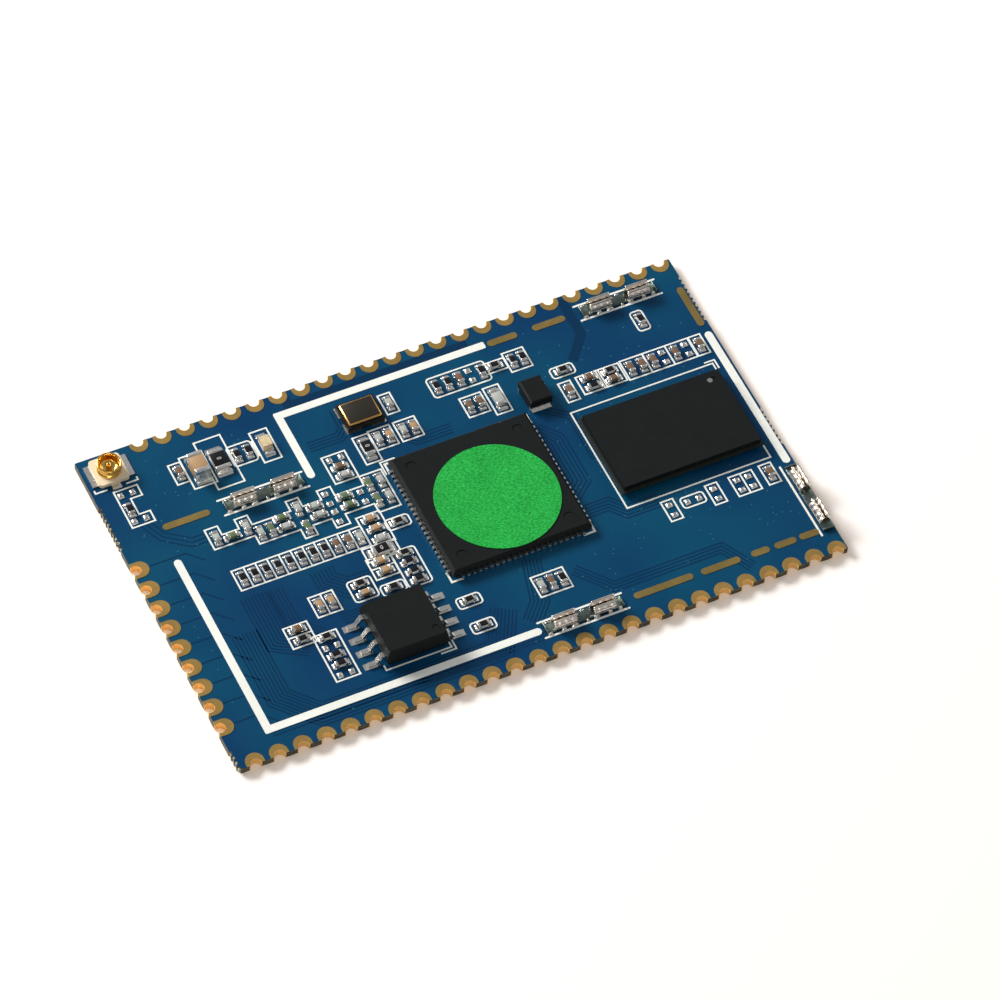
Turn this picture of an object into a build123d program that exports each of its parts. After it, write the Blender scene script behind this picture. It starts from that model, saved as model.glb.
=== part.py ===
from build123d import *
import os

os.makedirs("parts", exist_ok=True)

# A castellated radio module, lying flat on its underside.
# Millimetres. The origin is the middle of the board's underside, +X runs along the
# long edge, +Y runs from the front edge to the back edge and +Z points up.

# Board and its plated edge contacts
board_length = 52.3
board_width = 31.4
board_thickness = 0.65
corner_radius = 0.45
land_thickness = 0.035
plating = 0.06
contact_pitch = 2.0
contact_hole_radius = 0.46
contact_land_radius = 0.75
contact_end_margin = 0.7
front_contact_start = 1.45
back_contact_start = 5.37
left_contact_start = 4.03
left_contact_run_share = 0.67
long_edge_land_straight = 0.25
left_edge_land_straight = 0.6
left_edge_hole_inset = 0.25
tab_hole_radius = 0.2
tab_hole_pitch = 0.5
# Each broken tab: which end of the board, then where it starts and stops along Y
tab_shares = [(0, 0.005, 0.065), (0, 0.716, 0.845), (1, 0.79, 0.945), (1, 0.36, 0.475)]

# Bare metal strips and white print
strip_width = 0.6
print_thickness = 0.03
wide_line = 0.65
wide_line_corner = 0.12
thin_line = 0.13
clip_line = 0.17
clip_line_gap = 0.26
clip_line_overrun = 0.35
outline_gap = 0.5
outline_side_gap = 0.02
outline_corner = 0.28
medium_outline_side = 0.27
medium_outline_end = 0.6
large_outline_side = 0.5
large_outline_end = 1.45
bulk_outline_side = 0.34
bulk_outline_end = 0.62
# Along X: start share, end share, Y share. Along Y: X share, start share, end share.
strip_x_shares = [(0.079, 0.144, 0.731), (0.674, 0.713, 0.933), (0.751, 0.795, 0.933),
                  (0.67, 0.757, 0.078), (0.782, 0.836, 0.077), (0.866, 0.885, 0.076),
                  (0.905, 0.93, 0.075), (0.947, 0.968, 0.075)]
strip_y_shares = [(0.989, 0.78, 0.896)]
wide_x_shares = [(0.073, 0.505, 0.078), (0.317, 0.658, 0.935)]
wide_y_shares = [(0.068, 0.083, 0.618), (0.317, 0.735, 0.935), (0.99, 0.305, 0.738)]
# Where a wide line turns or ends square
wide_corner_shares = [(0.068, 0.078), (0.317, 0.935), (0.658, 0.935)]

# Small chips, named by their case
chip_length = 1.0
chip_width = 0.5
chip_height = 0.42
resistor_height = 0.35
end_length = 0.24
coat_thickness = 0.03
chip_land_length = 0.5
chip_land_width = 0.56
close_pitch = 0.9
row_pitch = 1.0
medium_length = 1.6
medium_width = 0.8
medium_height = 0.45
medium_end_length = 0.32
large_length = 2.0
large_width = 1.25
large_height = 0.5
large_end_length = 0.4
bulk_height = 1.2
medium_land_length = 0.75
large_land_length = 0.9

# One row of small chips: X and Y share of the first chip, whether the chips stand
# across the row, the pitch, the kinds in order, and the outline printed round them.
# R resistor, T tan, B brown, G grey and N green chip, P a bare pair of pads.
row_shares = [
    (0.041, 0.813, True, row_pitch, "R", "none"),
    (0.049, 0.862, False, row_pitch, "P", "none"),
    (0.049, 0.776, False, row_pitch, "P", "none"),
    (0.136, 0.869, True, row_pitch, "B", "square"),
    (0.229, 0.863, True, row_pitch, "RR", "round"),
    (0.481, 0.861, True, row_pitch, "G", "square"),
    (0.438, 0.769, True, close_pitch, "GT", "square"),
    (0.48, 0.769, True, close_pitch, "GT", "square"),
    (0.561, 0.86, True, row_pitch, "RRBPR", "round"),
    (0.66, 0.862, False, row_pitch, "R", "square"),
    (0.689, 0.859, True, close_pitch, "RR", "square"),
    (0.592, 0.771, True, close_pitch, "BB", "square"),
    (0.744, 0.715, True, row_pitch, "B", "square"),
    (0.905, 0.848, True, row_pitch, "R", "round"),
    (0.752, 0.781, False, row_pitch, "R", "round"),
    (0.783, 0.733, False, close_pitch, "BR", "square"),
    (0.817, 0.733, False, close_pitch, "RB", "square"),
    (0.8495, 0.718, True, row_pitch, "BB", "square"),
    (0.888, 0.718, True, row_pitch, "BP", "square"),
    (0.927, 0.718, True, row_pitch, "BP", "square"),
    (0.9675, 0.718, True, row_pitch, "B", "square"),
    (0.363, 0.756, False, close_pitch, "PBG", "square"),
    (0.138, 0.649, True, row_pitch, "G", "none"),
    (0.162, 0.638, False, row_pitch, "N", "none"),
    (0.187, 0.65, True, row_pitch, "G", "none"),
    (0.203, 0.62, True, close_pitch, "GN", "none"),
    (0.243, 0.64, False, close_pitch, "NG", "none"),
    (0.271, 0.651, True, row_pitch, "G", "none"),
    (0.271, 0.59, True, row_pitch, "N", "none"),
    (0.297, 0.639, False, close_pitch, "GG", "none"),
    (0.321, 0.65, True, row_pitch, "P", "none"),
    (0.321, 0.591, True, row_pitch, "P", "none"),
    (0.346, 0.639, False, close_pitch, "NN", "none"),
    (0.372, 0.622, True, row_pitch, "P", "none"),
    (0.389, 0.651, True, row_pitch, "NG", "none"),
    (0.389, 0.598, True, row_pitch, "NG", "none"),
    (0.144, 0.511, True, row_pitch, "RRRRRRRRBBG", "cells"),
    (0.364, 0.551, False, row_pitch, "TTG", "square"),
    (0.4, 0.516, False, row_pitch, "R", "round"),
    (0.345, 0.424, False, row_pitch, "TT", "cells"),
    (0.384, 0.422, False, close_pitch, "RRRR", "round"),
    (0.343, 0.339, False, row_pitch, "R", "round"),
    (0.3, 0.381, False, row_pitch, "RT", "round"),
    (0.228, 0.362, True, row_pitch, "TT", "cells"),
    (0.18, 0.317, False, row_pitch, "BR", "cells"),
    (0.214, 0.268, False, close_pitch, "RPRRP", "square"),
    (0.436, 0.229, False, row_pitch, "R", "round"),
    (0.436, 0.148, False, row_pitch, "R", "round"),
    (0.546, 0.199, True, close_pitch, "GBR", "square"),
    (0.955, 0.282, True, row_pitch, "B", "square"),
    (0.788, 0.278, True, row_pitch, "P", "square"),
    (0.826, 0.285, False, row_pitch, "P", "round"),
    (0.863, 0.28, True, row_pitch, "P", "square"),
    (0.903, 0.28, True, row_pitch, "PP", "cells"),
]
# Larger chips: X and Y share, and whether the chip stands across the board
medium_jumper_shares = [(0.415, 0.752, True), (0.355, 0.453, False)]
medium_capacitor_shares = [(0.637, 0.764, True)]
large_jumper_shares = [(0.2, 0.862, True)]
bulk_capacitor_shares = [(0.165, 0.86, True)]
# The stepped outline that runs round the radio filter chain
filter_outline_shares = [
    (0.128, 0.683), (0.149, 0.683), (0.149, 0.654), (0.177, 0.654), (0.177, 0.684),
    (0.198, 0.684), (0.198, 0.653), (0.261, 0.653), (0.261, 0.684), (0.281, 0.684),
    (0.281, 0.654), (0.312, 0.654), (0.312, 0.683), (0.334, 0.683), (0.334, 0.653),
    (0.382, 0.653), (0.382, 0.682), (0.418, 0.682), (0.418, 0.562), (0.382, 0.562),
    (0.382, 0.591), (0.334, 0.591), (0.334, 0.56), (0.312, 0.56), (0.312, 0.591),
    (0.281, 0.591), (0.281, 0.561), (0.261, 0.561), (0.261, 0.591), (0.194, 0.591),
    (0.194, 0.619), (0.128, 0.619)]
# The bracket shaped outline below the antenna socket
matching_outline_shares = [
    (0.032, 0.879), (0.07, 0.879), (0.07, 0.845), (0.051, 0.845), (0.051, 0.793),
    (0.069, 0.793), (0.069, 0.76), (0.032, 0.76)]

# Processor, its two rows of leads and the round label on it
processor_x_share = 0.5455
processor_y_share = 0.494
processor_side = 12.0
processor_height = 0.85
processor_bevel = 0.22
processor_step = 0.22
lead_row_pitch = 0.5
lead_row_margin = 0.7
processor_lead_width = 0.24
processor_lead_length = 0.55
processor_lead_reach = 0.26
processor_tip_width = 0.16
processor_tip_proud = 0.03
dimple_radius = 0.45
dimple_inset = 1.35
dimple_depth = 0.05
label_radius = 5.05
label_thickness = 0.07
label_shift_x = 0.31
label_shift_y = -0.7
processor_corner_gap = 0.2
processor_corner_arm = 1.0
pin_mark_step = 0.28

# Memory on its ball grid
memory_x_share = 0.849
memory_y_share = 0.4895
memory_length = 12.5
memory_width = 8.0
memory_substrate_thickness = 0.22
memory_mould_inset = 0.2
memory_mould_thickness = 0.5
ball_radius = 0.22
ball_height = 0.3
ball_pitch = 0.8
ball_inset = 0.7
ball_rows = 3
memory_outline_gap_x = 0.1
memory_outline_gap_y = 1.08
memory_mark_arm = 0.9
memory_dot_radius = 0.24
memory_dot_depth = 0.05
memory_dot_inset = 1.0

# Eight lead flash memory
flash_x_share = 0.3235
flash_y_share = 0.21
flash_side = 5.28
flash_standoff = 0.1
flash_height = 1.75
flash_parting_share = 0.45
flash_draft = 0.2
flash_lead_pitch = 1.27
flash_lead_width = 0.42
flash_lead_thickness = 0.2
flash_lead_span = 7.9
flash_foot = 0.65
flash_lead_rows = 4
flash_land_length = 1.3
flash_land_width = 0.6
flash_land_toe = 0.35
flash_dot_radius = 0.3
flash_dot_inset = 0.85
flash_outline_arm = 0.5
flash_mark_arm = 1.3

# Crystal
crystal_x_share = 0.432
crystal_y_share = 0.856
crystal_length = 3.2
crystal_width = 2.5
crystal_base_height = 0.5
crystal_lid_inset = 0.16
crystal_lid_height = 0.22
crystal_land_length = 1.3
crystal_land_width = 1.05
crystal_land_overhang = 0.12

# Antenna socket
socket_x_share = 0.041
socket_y_share = 0.943
socket_side = 2.6
socket_corner = 0.3
socket_base_height = 0.35
socket_height = 1.25
socket_radius = 1.0
socket_neck_radius = 0.88
socket_bore_radius = 0.76
socket_lip_height = 0.28
socket_lip_bevel = 0.08
socket_foot_height = 0.2
socket_pin_radius = 0.22
socket_pin_height = 0.75
socket_tab_thickness = 0.15
socket_tab_width = 0.5
socket_tab_length = 2.1
socket_tab_offset = 0.12
signal_tab_width = 0.75
signal_tab_reach = 0.55
socket_bracket_gap = 0.28
socket_bracket_arm = 0.3
socket_bracket_length = 1.0

# Power inductor
inductor_x_share = 0.691
inductor_y_share = 0.734
inductor_width = 1.9
inductor_length = 2.4
inductor_height = 1.1
inductor_bevel = 0.12
inductor_end_length = 0.3
inductor_end_height = 0.35
inductor_land_width = 1.7
inductor_land_toe = 0.2

# Status lamp
led_x_share = 0.277
led_y_share = 0.864
led_length = 1.6
led_width = 0.8
led_base_height = 0.25
led_lens_length = 1.0
led_lens_height = 0.4
led_end_length = 0.28
led_outline_side = 0.34
led_outline_end = 0.75
led_mark_gap = 0.1
led_mark_width = 0.2

# Folded spring clips that hold a shield can
clip_length = 6.7
clip_width = 1.0
clip_sheet = 0.13
clip_arm_length = 1.95
clip_arm_centre = 1.7
clip_wall_height = 0.38
clip_pinch_height = 0.62
clip_pinch_gap = 0.07
clip_height = 0.9
clip_lip_gap = 0.26
clip_end_height = 0.32
# X share, Y share, and whether the clip stands across the board
clip_shares = {
    "shield_clip_back_left": (0.237, 0.729, False),
    "shield_clip_back_right": (0.891, 0.931, False),
    "shield_clip_front": (0.58, 0.077, False),
    "shield_clip_right": (0.989, 0.174, True),
}

# Heights that several pieces share
board_top = board_thickness
seat = board_top + land_thickness


def at_x(share):
    return (share - 0.5) * board_length


def at_y(share):
    return (share - 0.5) * board_width


def spot(x_share, y_share, across=False):
    return Location((at_x(x_share), at_y(y_share), 0), (0, 0, 90 if across else 0))


def run_places(start, length, pitch, end_margin):
    """Distances from the corner of contacts set out along an edge."""
    count = int((length - start - end_margin) / pitch) + 1
    return [start + pitch * step for step in range(count)]


def finish(builder, name):
    builder.part.label = name
    export_step(builder.part, f"parts/{name}.step")


# Edge contact places. In each local frame X runs along the edge and Y points inwards.
front_y = -board_width / 2
left_x = -board_length / 2
front_spots = [Location((left_x + run, front_y, 0), (0, 0, 0))
               for run in run_places(front_contact_start, board_length, contact_pitch,
                                     contact_end_margin)]
back_spots = [Location((left_x + run, -front_y, 0), (0, 0, 180))
              for run in run_places(back_contact_start, board_length, contact_pitch,
                                    contact_end_margin)]
left_spots = [Location((left_x, front_y + run, 0), (0, 0, -90))
              for run in run_places(left_contact_start,
                                    board_width * left_contact_run_share,
                                    contact_pitch, 0)]
contact_rows = {
    "edge_contacts_front": (front_spots, long_edge_land_straight, 0),
    "edge_contacts_back": (back_spots, long_edge_land_straight, 0),
    "edge_contacts_left": (left_spots, left_edge_land_straight, left_edge_hole_inset),
}


def tab_holes():
    """Centres of the small drilled holes that each broken tab leaves behind."""
    centres = []
    for end, start_share, stop_share in tab_shares:
        stretch = (stop_share - start_share) * board_width
        count = int(stretch / tab_hole_pitch) + 1
        for step in range(count):
            centres.append((at_x(end), at_y(start_share) + step * tab_hole_pitch))
    return centres


def add_contact_lands(spots, straight, inset):
    """Rounded lands in the open sketch, open at the hole and cut off at the edge."""
    with Locations(*spots):
        with Locations((0, straight)):
            Circle(contact_land_radius)
        with Locations((0, straight / 2)):
            Rectangle(2 * contact_land_radius, straight)
        with Locations((0, inset)):
            Circle(contact_hole_radius, mode=Mode.SUBTRACT)
    Rectangle(board_length, board_width, mode=Mode.INTERSECT)


# Printed board: laminate with drilled half holes and the torn remains of its tabs
with BuildPart() as circuit_board:
    with BuildSketch():
        slab = Rectangle(board_length, board_width)
        front_left = slab.vertices().group_by(Axis.X)[0].sort_by(Axis.Y)[0]
        fillet(front_left, corner_radius)
        for spots, straight, inset in contact_rows.values():
            with Locations(*spots):
                with Locations((0, inset)):
                    Circle(contact_hole_radius + plating, mode=Mode.SUBTRACT)
        with Locations(*tab_holes()):
            Circle(tab_hole_radius, mode=Mode.SUBTRACT)
    extrude(amount=board_thickness)
    for spots, straight, inset in contact_rows.values():
        with BuildSketch():
            add_contact_lands(spots, straight, inset)
        extrude(amount=land_thickness, mode=Mode.SUBTRACT)
finish(circuit_board, "circuit_board")

# Edge contacts: a plated wall in each half hole, with a land at each end of it
for name, (spots, straight, inset) in contact_rows.items():
    with BuildPart() as edge_contacts:
        with BuildSketch():
            add_contact_lands(spots, straight, inset)
        extrude(amount=land_thickness)
        with BuildSketch():
            with Locations(*spots):
                with Locations((0, inset)):
                    Circle(contact_hole_radius + plating)
                    Circle(contact_hole_radius, mode=Mode.SUBTRACT)
            Rectangle(board_length, board_width, mode=Mode.INTERSECT)
        extrude(amount=board_thickness)
        with BuildSketch(Plane.XY.offset(board_top)):
            add_contact_lands(spots, straight, inset)
        extrude(amount=land_thickness)
    finish(edge_contacts, name)


def add_bars(x_shares, y_shares, width):
    """Straight bars with round ends, in the open sketch."""
    for start, stop, y_share in x_shares:
        with Locations((at_x((start + stop) / 2), at_y(y_share))):
            SlotOverall((stop - start) * board_length + width, width)
    for x_share, start, stop in y_shares:
        with Locations((at_x(x_share), at_y((start + stop) / 2))):
            SlotOverall((stop - start) * board_width + width, width, rotation=90)


# Bare plated strips left open in the lacquer
with BuildPart() as ground_strips:
    with BuildSketch(Plane.XY.offset(board_top)):
        add_bars(strip_x_shares, strip_y_shares, strip_width)
    extrude(amount=land_thickness)
finish(ground_strips, "ground_strips")

# Wide white lines that frame the two halves of the circuit
with BuildPart() as printed_frame:
    with BuildSketch(Plane.XY.offset(board_top)):
        add_bars(wide_x_shares, wide_y_shares, wide_line)
        with Locations(*[spot(*row) for row in wide_corner_shares]):
            RectangleRounded(wide_line, wide_line, wide_line_corner)
    extrude(amount=print_thickness)
finish(printed_frame, "printed_frame")

# Places of every small chip, worked out from the rows
chip_places = {kind: [] for kind in "RTBGNP"}
row_outlines = []
for x_share, y_share, across, pitch, kinds, outline in row_shares:
    first_x = at_x(x_share)
    first_y = at_y(y_share)
    step_x = pitch if across else 0
    step_y = 0 if across else -pitch
    for index, kind in enumerate(kinds):
        place = Location((first_x + step_x * index, first_y + step_y * index, 0),
                         (0, 0, 90 if across else 0))
        chip_places[kind].append(place)
    last = len(kinds) - 1
    middle = (first_x + step_x * last / 2, first_y + step_y * last / 2)
    run = pitch * len(kinds) + 2 * outline_side_gap
    depth = chip_length + 2 * outline_gap
    size = (run, depth) if across else (depth, run)
    cells = []
    if outline == "cells":
        cells = [(first_x + step_x * (index + 0.5), first_y + step_y * (index + 0.5))
                 for index in range(last)]
    row_outlines.append((middle, size, outline, across, cells, depth))


def spots_of(table):
    return [spot(*row) for row in table]


medium_jumpers = spots_of(medium_jumper_shares)
medium_capacitors = spots_of(medium_capacitor_shares)
large_jumpers = spots_of(large_jumper_shares)
bulk_capacitors = spots_of(bulk_capacitor_shares)
resistors = chip_places["R"]
tan_chips = chip_places["T"]
brown_chips = chip_places["B"]
grey_chips = chip_places["G"]
green_chips = chip_places["N"]
small_chips = [place for places in chip_places.values() for place in places]


def add_pairs(places, offset, length, width):
    """Two like rectangles in each place, set out either side of its middle."""
    with Locations(*places):
        with Locations((-offset, 0), (offset, 0)):
            Rectangle(length, width)


def add_chip_pairs(places, chip, end, width, height):
    """End caps of chips, standing on their lands."""
    with BuildSketch(Plane.XY.offset(seat)) as caps:
        add_pairs(places, (chip - end) / 2, end, width)
    extrude(caps.sketch, amount=height)


def add_chip_middles(places, chip, end, width, bottom, height):
    """The stretch of chips between their end caps."""
    with BuildSketch(Plane.XY.offset(bottom)) as middles:
        with Locations(*places):
            Rectangle(chip - 2 * end, width)
    extrude(middles.sketch, amount=height)


# Tinned lands under the chips, and the bare pairs where no chip is fitted
with BuildPart() as chip_lands:
    with BuildSketch(Plane.XY.offset(board_top)):
        add_pairs(small_chips, chip_length / 2, chip_land_length, chip_land_width)
        add_pairs(medium_jumpers + medium_capacitors, medium_length / 2,
                  medium_land_length, medium_width)
        add_pairs(large_jumpers + bulk_capacitors, large_length / 2,
                  large_land_length, large_width)
        add_pairs([spot(led_x_share, led_y_share, True)], led_length / 2,
                  medium_land_length, led_width)
        add_pairs([spot(inductor_x_share, inductor_y_share, True)],
                  inductor_length / 2 - inductor_end_length / 2,
                  inductor_end_length + 2 * inductor_land_toe, inductor_land_width)
        crystal_land_x = crystal_length / 2 + crystal_land_overhang - crystal_land_length / 2
        crystal_land_y = crystal_width / 2 + crystal_land_overhang - crystal_land_width / 2
        with Locations(spot(crystal_x_share, crystal_y_share)):
            with GridLocations(2 * crystal_land_x, 2 * crystal_land_y, 2, 2):
                Rectangle(crystal_land_length, crystal_land_width)
        with Locations(spot(flash_x_share, flash_y_share)):
            with GridLocations(flash_lead_span + 2 * flash_land_toe - flash_land_length,
                               flash_lead_pitch, 2, flash_lead_rows):
                Rectangle(flash_land_length, flash_land_width)
    extrude(amount=land_thickness)
finish(chip_lands, "chip_lands")

# Resistors: a white ceramic slab, a black glass coat on it and tinned ends
with BuildPart() as resistor_bodies:
    add_chip_middles(resistors, chip_length, end_length, chip_width, seat,
                     resistor_height - coat_thickness)
    add_chip_middles(medium_jumpers, medium_length, medium_end_length, medium_width, seat,
                     medium_height - coat_thickness)
    add_chip_middles(large_jumpers, large_length, large_end_length, large_width, seat,
                     large_height - coat_thickness)
finish(resistor_bodies, "resistor_bodies")

with BuildPart() as resistor_coats:
    add_chip_middles(resistors, chip_length, end_length, chip_width,
                     seat + resistor_height - coat_thickness, coat_thickness)
    add_chip_middles(medium_jumpers, medium_length, medium_end_length, medium_width,
                     seat + medium_height - coat_thickness, coat_thickness)
    add_chip_middles(large_jumpers, large_length, large_end_length, large_width,
                     seat + large_height - coat_thickness, coat_thickness)
finish(resistor_coats, "resistor_coats")

with BuildPart() as resistor_ends:
    add_chip_pairs(resistors, chip_length, end_length, chip_width, resistor_height)
    add_chip_pairs(medium_jumpers, medium_length, medium_end_length, medium_width,
                   medium_height)
    add_chip_pairs(large_jumpers, large_length, large_end_length, large_width,
                   large_height)
finish(resistor_ends, "resistor_ends")

# Ceramic capacitors and small inductors: a body of one colour between tinned ends
with BuildPart() as tan_capacitor_bodies:
    add_chip_middles(tan_chips, chip_length, end_length, chip_width, seat, chip_height)
finish(tan_capacitor_bodies, "tan_capacitor_bodies")

with BuildPart() as brown_capacitor_bodies:
    add_chip_middles(brown_chips, chip_length, end_length, chip_width, seat, chip_height)
finish(brown_capacitor_bodies, "brown_capacitor_bodies")

with BuildPart() as grey_capacitor_bodies:
    add_chip_middles(grey_chips, chip_length, end_length, chip_width, seat, chip_height)
    add_chip_middles(medium_capacitors, medium_length, medium_end_length, medium_width,
                     seat, medium_height)
finish(grey_capacitor_bodies, "grey_capacitor_bodies")

with BuildPart() as filter_inductor_bodies:
    add_chip_middles(green_chips, chip_length, end_length, chip_width, seat, chip_height)
finish(filter_inductor_bodies, "filter_inductor_bodies")

with BuildPart() as capacitor_ends:
    add_chip_pairs(tan_chips + brown_chips + grey_chips, chip_length, end_length,
                   chip_width, chip_height)
    add_chip_pairs(medium_capacitors, medium_length, medium_end_length, medium_width,
                   medium_height)
finish(capacitor_ends, "capacitor_ends")

with BuildPart() as filter_inductor_ends:
    add_chip_pairs(green_chips, chip_length, end_length, chip_width, chip_height)
finish(filter_inductor_ends, "filter_inductor_ends")

# The one tall capacitor beside the status lamp
with BuildPart() as bulk_capacitor_body:
    add_chip_middles(bulk_capacitors, large_length, large_end_length, large_width, seat,
                     bulk_height)
finish(bulk_capacitor_body, "bulk_capacitor_body")

with BuildPart() as bulk_capacitor_ends:
    add_chip_pairs(bulk_capacitors, large_length, large_end_length, large_width,
                   bulk_height)
finish(bulk_capacitor_ends, "bulk_capacitor_ends")

# Processor: a square moulding with a bevelled rim and a step where the leads come out
processor_place = (at_x(processor_x_share), at_y(processor_y_share))
processor_half = processor_side / 2
processor_core = processor_side - 2 * (processor_lead_length - processor_lead_reach)
with BuildPart() as processor_body:
    with BuildSketch(Plane.XY.offset(seat)):
        with Locations(processor_place):
            Rectangle(processor_core, processor_core)
    extrude(amount=processor_step)
    with BuildSketch(Plane.XY.offset(seat + processor_step)):
        with Locations(processor_place):
            Rectangle(processor_side, processor_side)
    extrude(amount=processor_height - processor_step)
    rim = processor_body.faces().sort_by(Axis.Z)[-1].edges()
    chamfer(rim, processor_bevel)
    dimple_span = processor_side - 2 * dimple_inset
    with BuildSketch(Plane.XY.offset(seat + processor_height)):
        with Locations(processor_place):
            with GridLocations(dimple_span, dimple_span, 2, 2):
                Circle(dimple_radius)
    extrude(amount=-dimple_depth, mode=Mode.SUBTRACT)
finish(processor_body, "processor_body")


def processor_sides():
    """One place on each side of the processor, with Y pointing outwards."""
    centre = Location((*processor_place, 0))
    return [centre * Location((0, 0, 0), (0, 0, 90 * turn)) for turn in range(4)]


lead_count = int((processor_side - 2 * lead_row_margin) / lead_row_pitch) + 1
with BuildPart() as processor_leads:
    with BuildSketch(Plane.XY.offset(board_top)):
        with Locations(*processor_sides()):
            with Locations((0, processor_half + processor_lead_reach
                            - processor_lead_length / 2)):
                with GridLocations(lead_row_pitch, 0, lead_count, 1):
                    Rectangle(processor_lead_width, processor_lead_length)
    extrude(amount=land_thickness + processor_step)
finish(processor_leads, "processor_leads")

with BuildPart() as processor_lead_tips:
    with BuildSketch(Plane.XY.offset(seat)):
        with Locations(*processor_sides()):
            with Locations((0, processor_half + processor_tip_proud
                            - processor_lead_reach / 2)):
                with GridLocations(lead_row_pitch, 0, lead_count - 1, 1):
                    Rectangle(processor_tip_width, processor_lead_reach)
    extrude(amount=processor_step)
finish(processor_lead_tips, "processor_lead_tips")

# Round paper label on the processor
with BuildPart() as processor_label:
    with BuildSketch(Plane.XY.offset(seat + processor_height)):
        with Locations((processor_place[0] + label_shift_x,
                        processor_place[1] + label_shift_y)):
            Circle(label_radius)
    extrude(amount=label_thickness)
finish(processor_label, "processor_label")

# Memory: a moulding on a thin laminate, carried on two banks of solder balls
memory_place = (at_x(memory_x_share), at_y(memory_y_share))
memory_bottom = board_top + ball_height
bank_y = memory_width / 2 - ball_inset - ball_pitch * (ball_rows - 1) / 2
ball_columns = int((memory_length - 2 * ball_inset) / ball_pitch) + 1
with BuildPart() as memory_balls:
    with BuildSketch(Plane.XY.offset(board_top)):
        with Locations(memory_place):
            with Locations((0, bank_y), (0, -bank_y)):
                with GridLocations(ball_pitch, ball_pitch, ball_columns, ball_rows):
                    Circle(ball_radius)
    extrude(amount=ball_height)
finish(memory_balls, "memory_balls")

with BuildPart() as memory_substrate:
    with BuildSketch(Plane.XY.offset(memory_bottom)):
        with Locations(memory_place):
            Rectangle(memory_length, memory_width)
    extrude(amount=memory_substrate_thickness)
finish(memory_substrate, "memory_substrate")

memory_mould_bottom = memory_bottom + memory_substrate_thickness
with BuildPart() as memory_mould:
    with BuildSketch(Plane.XY.offset(memory_mould_bottom)):
        with Locations(memory_place):
            Rectangle(memory_length - 2 * memory_mould_inset,
                      memory_width - 2 * memory_mould_inset)
    extrude(amount=memory_mould_thickness)
    with BuildSketch(Plane.XY.offset(memory_mould_bottom + memory_mould_thickness)):
        with Locations((memory_place[0] + memory_length / 2 - memory_dot_inset,
                        memory_place[1] + memory_width / 2 - memory_dot_inset)):
            Circle(memory_dot_radius)
    extrude(amount=-memory_dot_depth, mode=Mode.SUBTRACT)
finish(memory_mould, "memory_mould")

# Flash memory: a moulding drafted both ways from its parting line, with bent leads
flash_place = (at_x(flash_x_share), at_y(flash_y_share))
flash_bottom = seat + flash_standoff
flash_lower = flash_height * flash_parting_share
flash_parting = flash_bottom + flash_lower
flash_face = flash_side - 2 * flash_draft
with BuildPart() as flash_body:
    for level in (flash_bottom, flash_parting):
        widths = (flash_face, flash_side) if level == flash_bottom else (flash_side, flash_face)
        rise = flash_lower if level == flash_bottom else flash_height - flash_lower
        with BuildSketch(Plane.XY.offset(level)):
            with Locations(flash_place):
                Rectangle(widths[0], widths[0])
        with BuildSketch(Plane.XY.offset(level + rise)):
            with Locations(flash_place):
                Rectangle(widths[1], widths[1])
        loft()
    with BuildSketch(Plane.XY.offset(flash_bottom + flash_height)):
        with Locations((flash_place[0] + flash_side / 2 - flash_dot_inset,
                        flash_place[1] - flash_side / 2 + flash_dot_inset)):
            Circle(flash_dot_radius)
    extrude(amount=-dimple_depth, mode=Mode.SUBTRACT)
finish(flash_body, "flash_body")

flash_row_length = flash_lead_pitch * (flash_lead_rows - 1)
with BuildPart() as flash_leads:
    for row in range(flash_lead_rows):
        row_y = flash_place[1] - flash_row_length / 2 + flash_lead_pitch * row
        section = Plane(origin=(flash_place[0], row_y, seat), x_dir=(1, 0, 0),
                        z_dir=(0, -1, 0))
        with BuildSketch(section) as lead_section:
            with BuildLine():
                Polyline((flash_lead_span / 2, flash_lead_thickness / 2),
                         (flash_lead_span / 2 - flash_foot, flash_lead_thickness / 2),
                         (flash_side / 2 + flash_lead_thickness, flash_parting - seat),
                         (flash_side / 2, flash_parting - seat))
            trace(line_width=flash_lead_thickness)
            mirror(about=Plane.YZ)
        extrude(amount=flash_lead_width / 2, both=True)
finish(flash_leads, "flash_leads")

# Crystal: a ceramic tray closed by a welded metal lid
crystal_place = (at_x(crystal_x_share), at_y(crystal_y_share))
with BuildPart() as crystal_base:
    with BuildSketch(Plane.XY.offset(seat)):
        with Locations(crystal_place):
            Rectangle(crystal_length, crystal_width)
    extrude(amount=crystal_base_height)
finish(crystal_base, "crystal_base")

with BuildPart() as crystal_lid:
    with BuildSketch(Plane.XY.offset(seat + crystal_base_height)):
        with Locations(crystal_place):
            RectangleRounded(crystal_length - 2 * crystal_lid_inset,
                             crystal_width - 2 * crystal_lid_inset, crystal_lid_inset)
    extrude(amount=crystal_lid_height)
finish(crystal_lid, "crystal_lid")

# Antenna socket: a moulded square base, a turned shell, a centre pin and solder tabs
socket_place = (at_x(socket_x_share), at_y(socket_y_share))
socket_floor = seat + socket_base_height
with BuildPart() as antenna_socket_base:
    with BuildSketch(Plane.XY.offset(seat)):
        with Locations(socket_place):
            RectangleRounded(socket_side, socket_side, socket_corner)
    extrude(amount=socket_base_height)
finish(antenna_socket_base, "antenna_socket_base")

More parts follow.
